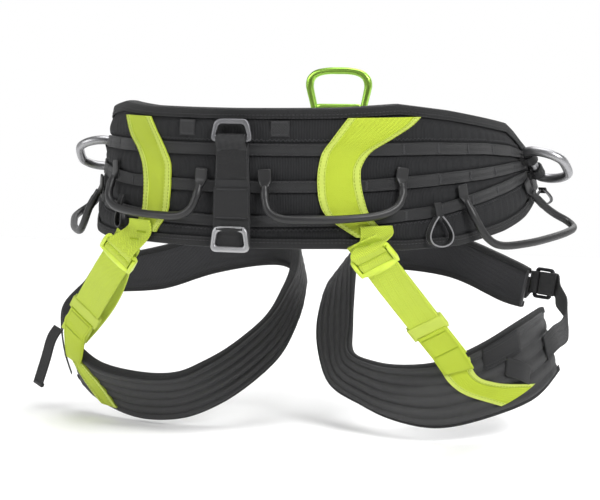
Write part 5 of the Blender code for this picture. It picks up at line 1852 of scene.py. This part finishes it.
def ventral():
    """Pear shaped front ring with a cross bar and the bridge round its foot."""
    middle = (RING_LOW + RING_TOP) / 2
    outline = [(-30.0, -31.0), (-26.0, -33.0), (26.0, -33.0), (30.0, -31.0), (32.0, -26.0), (33.5, -12.0),
               (37.5, 4.0), (39.0, 13.0), (36.5, 22.0), (28.0, 29.0), (14.0, 32.0), (0.0, 32.5)]
    outline += [(-a, b) for a, b in reversed(outline[4:-1])]
    hole = [(-23.5, -24.5), (-22.0, -26.0), (22.0, -26.0), (23.5, -24.5), (24.0, -21.0), (25.5, -12.0),
            (29.0, 4.0), (30.0, 12.0), (28.0, 18.5), (22.0, 22.5), (12.0, 24.3), (0.0, 24.5)]
    hole += [(-a, b) for a, b in reversed(hole[4:-1])]
    centre = np.array([RING_X, RING_Y, middle])
    right, up, out = np.array([1.0, 0, 0]), np.array([0, 0, 1.0]), np.array([0, 1.0, 0])
    piece = ring_plate("ventral_ring_forged", refine_outline(outline, 5), refine_outline(hole, 5), centre,
                       right, up,
                       out, 8.0, LOOK["green_metal"], "ventral_ring", 2.5)
    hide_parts("ventral_ring")
    places = [np.array((s * 27.0, RING_BAR - middle, 0.0)) for s in (-1.0, -0.4, 0.4, 1.0)]
    rounded_rail("ventral_ring_bar", places, 7.0, 6.4, centre, right, up, out, "green_metal",
                 "ventral_ring")
    core = np.array([RING_X, RING_Y, RING_LOW + 2.6])
    path = []
    for turn in np.linspace(-math.radians(160.0), math.radians(160.0), 17):
        path.append(core + (-up * math.cos(turn) + out * math.sin(turn)) * 6.7)
    piece = free_strap("ventral_bridge_web", path, [right] * 17, 36.0, 1.9, -out, "web", "harness")[0]
    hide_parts("ventral_bridge")
    for word, side in (("right", 1.0), ("left", -1.0)):
        path = [(18.0 * side - 3.0, 129.0, 16.0), (44.0 * side, 129.0, -16.0), (74.0 * side, 128.0, -50.0),
                (98.0 * side, 126.0, -84.0)]
        side_way = unit((0.75, 0.0, 0.65 * side))
        piece, place, total, normals = free_strap("riser_%s_web" % word, [np.array(p) for p in path],
                                                  [side_way] * 4, 24.0, 1.7, out, "web", "harness")
        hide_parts("riser_" + word)
        strap_seams("belt", place, total, normals, 1.7)


def build_hardware():
    """Rings, buckles, gear loops and the straps that carry them."""
    hip_straps()
    closures()
    keeper_panel()
    left_tail()
    lateral_rings()
    gear_loops()
    tool_loops()
    front()
    ventral()


# ================================================================ stage
def stage():
    """Pale floor, the studio world and soft lights."""
    floor_z = CAD_BOX[0][2] - 0.004
    mesh = bpy.data.meshes.new("floor")
    edge = [(x * FLOOR_HALF, y * FLOOR_HALF, floor_z) for x, y in ((-1, -1), (1, -1), (1, 1), (-1, 1))]
    mesh.from_pydata(edge, [], [(0, 1, 2, 3)])
    floor = bpy.data.objects.new("floor", mesh)
    bpy.context.scene.collection.objects.link(floor)
    paper = Cloth("floor_paper", (0.9, 0.9, 0.9), 0.9, 0.0, True)
    speck = paper.noise(0.4, 2.0)
    paper.base(paper.shades(speck, (0.93, 0.93, 0.93), (0.97, 0.97, 0.97)))
    mesh.materials.append(paper.material)
    world = bpy.data.worlds.new("studio")
    bpy.context.scene.world = world
    world.use_nodes = True
    nodes, links = world.node_tree.nodes, world.node_tree.links
    direction = nodes.new("ShaderNodeTexCoord").outputs["Generated"]
    parts = nodes.new("ShaderNodeSeparateXYZ")
    links.new(direction, parts.inputs[0])
    fade = nodes.new("ShaderNodeMapRange")
    fade.interpolation_type = "SMOOTHSTEP"
    fade.inputs["From Min"].default_value = 0.22
    fade.inputs["From Max"].default_value = 0.62
    fade.inputs["To Min"].default_value = HORIZON_LIGHT
    fade.inputs["To Max"].default_value = SKY_LIGHT
    links.new(parts.outputs[2], fade.inputs["Value"])
    background = nodes["Background"]
    background.inputs[0].default_value = (1.0, 1.0, 1.0, 1.0)
    turn = nodes.new("ShaderNodeMapRange")
    turn.interpolation_type = "SMOOTHSTEP"
    turn.inputs["From Min"].default_value = -0.3
    turn.inputs["From Max"].default_value = 0.6
    turn.inputs["To Min"].default_value = ROOM_SIDE
    turn.inputs["To Max"].default_value = 1.0
    links.new(parts.outputs[1], turn.inputs["Value"])
    both = nodes.new("ShaderNodeMath")
    both.operation = "MULTIPLY"
    links.new(fade.outputs[0], both.inputs[0])
    links.new(turn.outputs[0], both.inputs[1])
    links.new(both.outputs[0], background.inputs[1])
    for name, place, power, width in (
        ("key_light", (2.2, -1.7, 2.0), 96.0, 1.0),
        ("fill_light", (-2.2, -2.0, 1.2), 40.0, 1.6),
        ("top_light", (0.0, 0.2, 2.8), 58.0, 2.0),
        ("rim_light", (0.6, 2.4, 1.8), 40.0, 2.4),
    ):
        data = bpy.data.lights.new(name, "AREA")
        data.energy = power
        data.size = width
        lamp = bpy.data.objects.new(name, data)
        lamp.location = place
        aim = Vector((0.0, 0.0, -0.08)) - Vector(place)
        lamp.rotation_euler = aim.to_track_quat("-Z", "Y").to_euler()
        bpy.context.scene.collection.objects.link(lamp)


def camera():
    """Camera at the viewing angle of the product picture."""
    back = np.array([math.sin(AZIMUTH) * math.cos(ELEVATION),
                     -math.cos(AZIMUTH) * math.cos(ELEVATION), math.sin(ELEVATION)])
    right = np.array([math.cos(AZIMUTH), math.sin(AZIMUTH), 0.0])
    up = np.cross(back, right)
    target = right * AIM_RIGHT + up * AIM_UP
    place = back * DISTANCE
    data = bpy.data.cameras.new("camera")
    data.lens = LENS
    data.sensor_width = 36.0
    data.clip_end = 50.0
    eye = bpy.data.objects.new("camera", data)
    eye.location = tuple(place * MM)
    aim = Vector(tuple((target - place) * MM))
    eye.rotation_euler = aim.to_track_quat("-Z", "Y").to_euler()
    bpy.context.scene.collection.objects.link(eye)
    bpy.context.scene.camera = eye
    bpy.context.scene.view_settings.view_transform = "Standard"


stage()
camera()
build_belt()
build_legs()
build_hardware()
for sewn in SEWN.values():
    sewn.make()
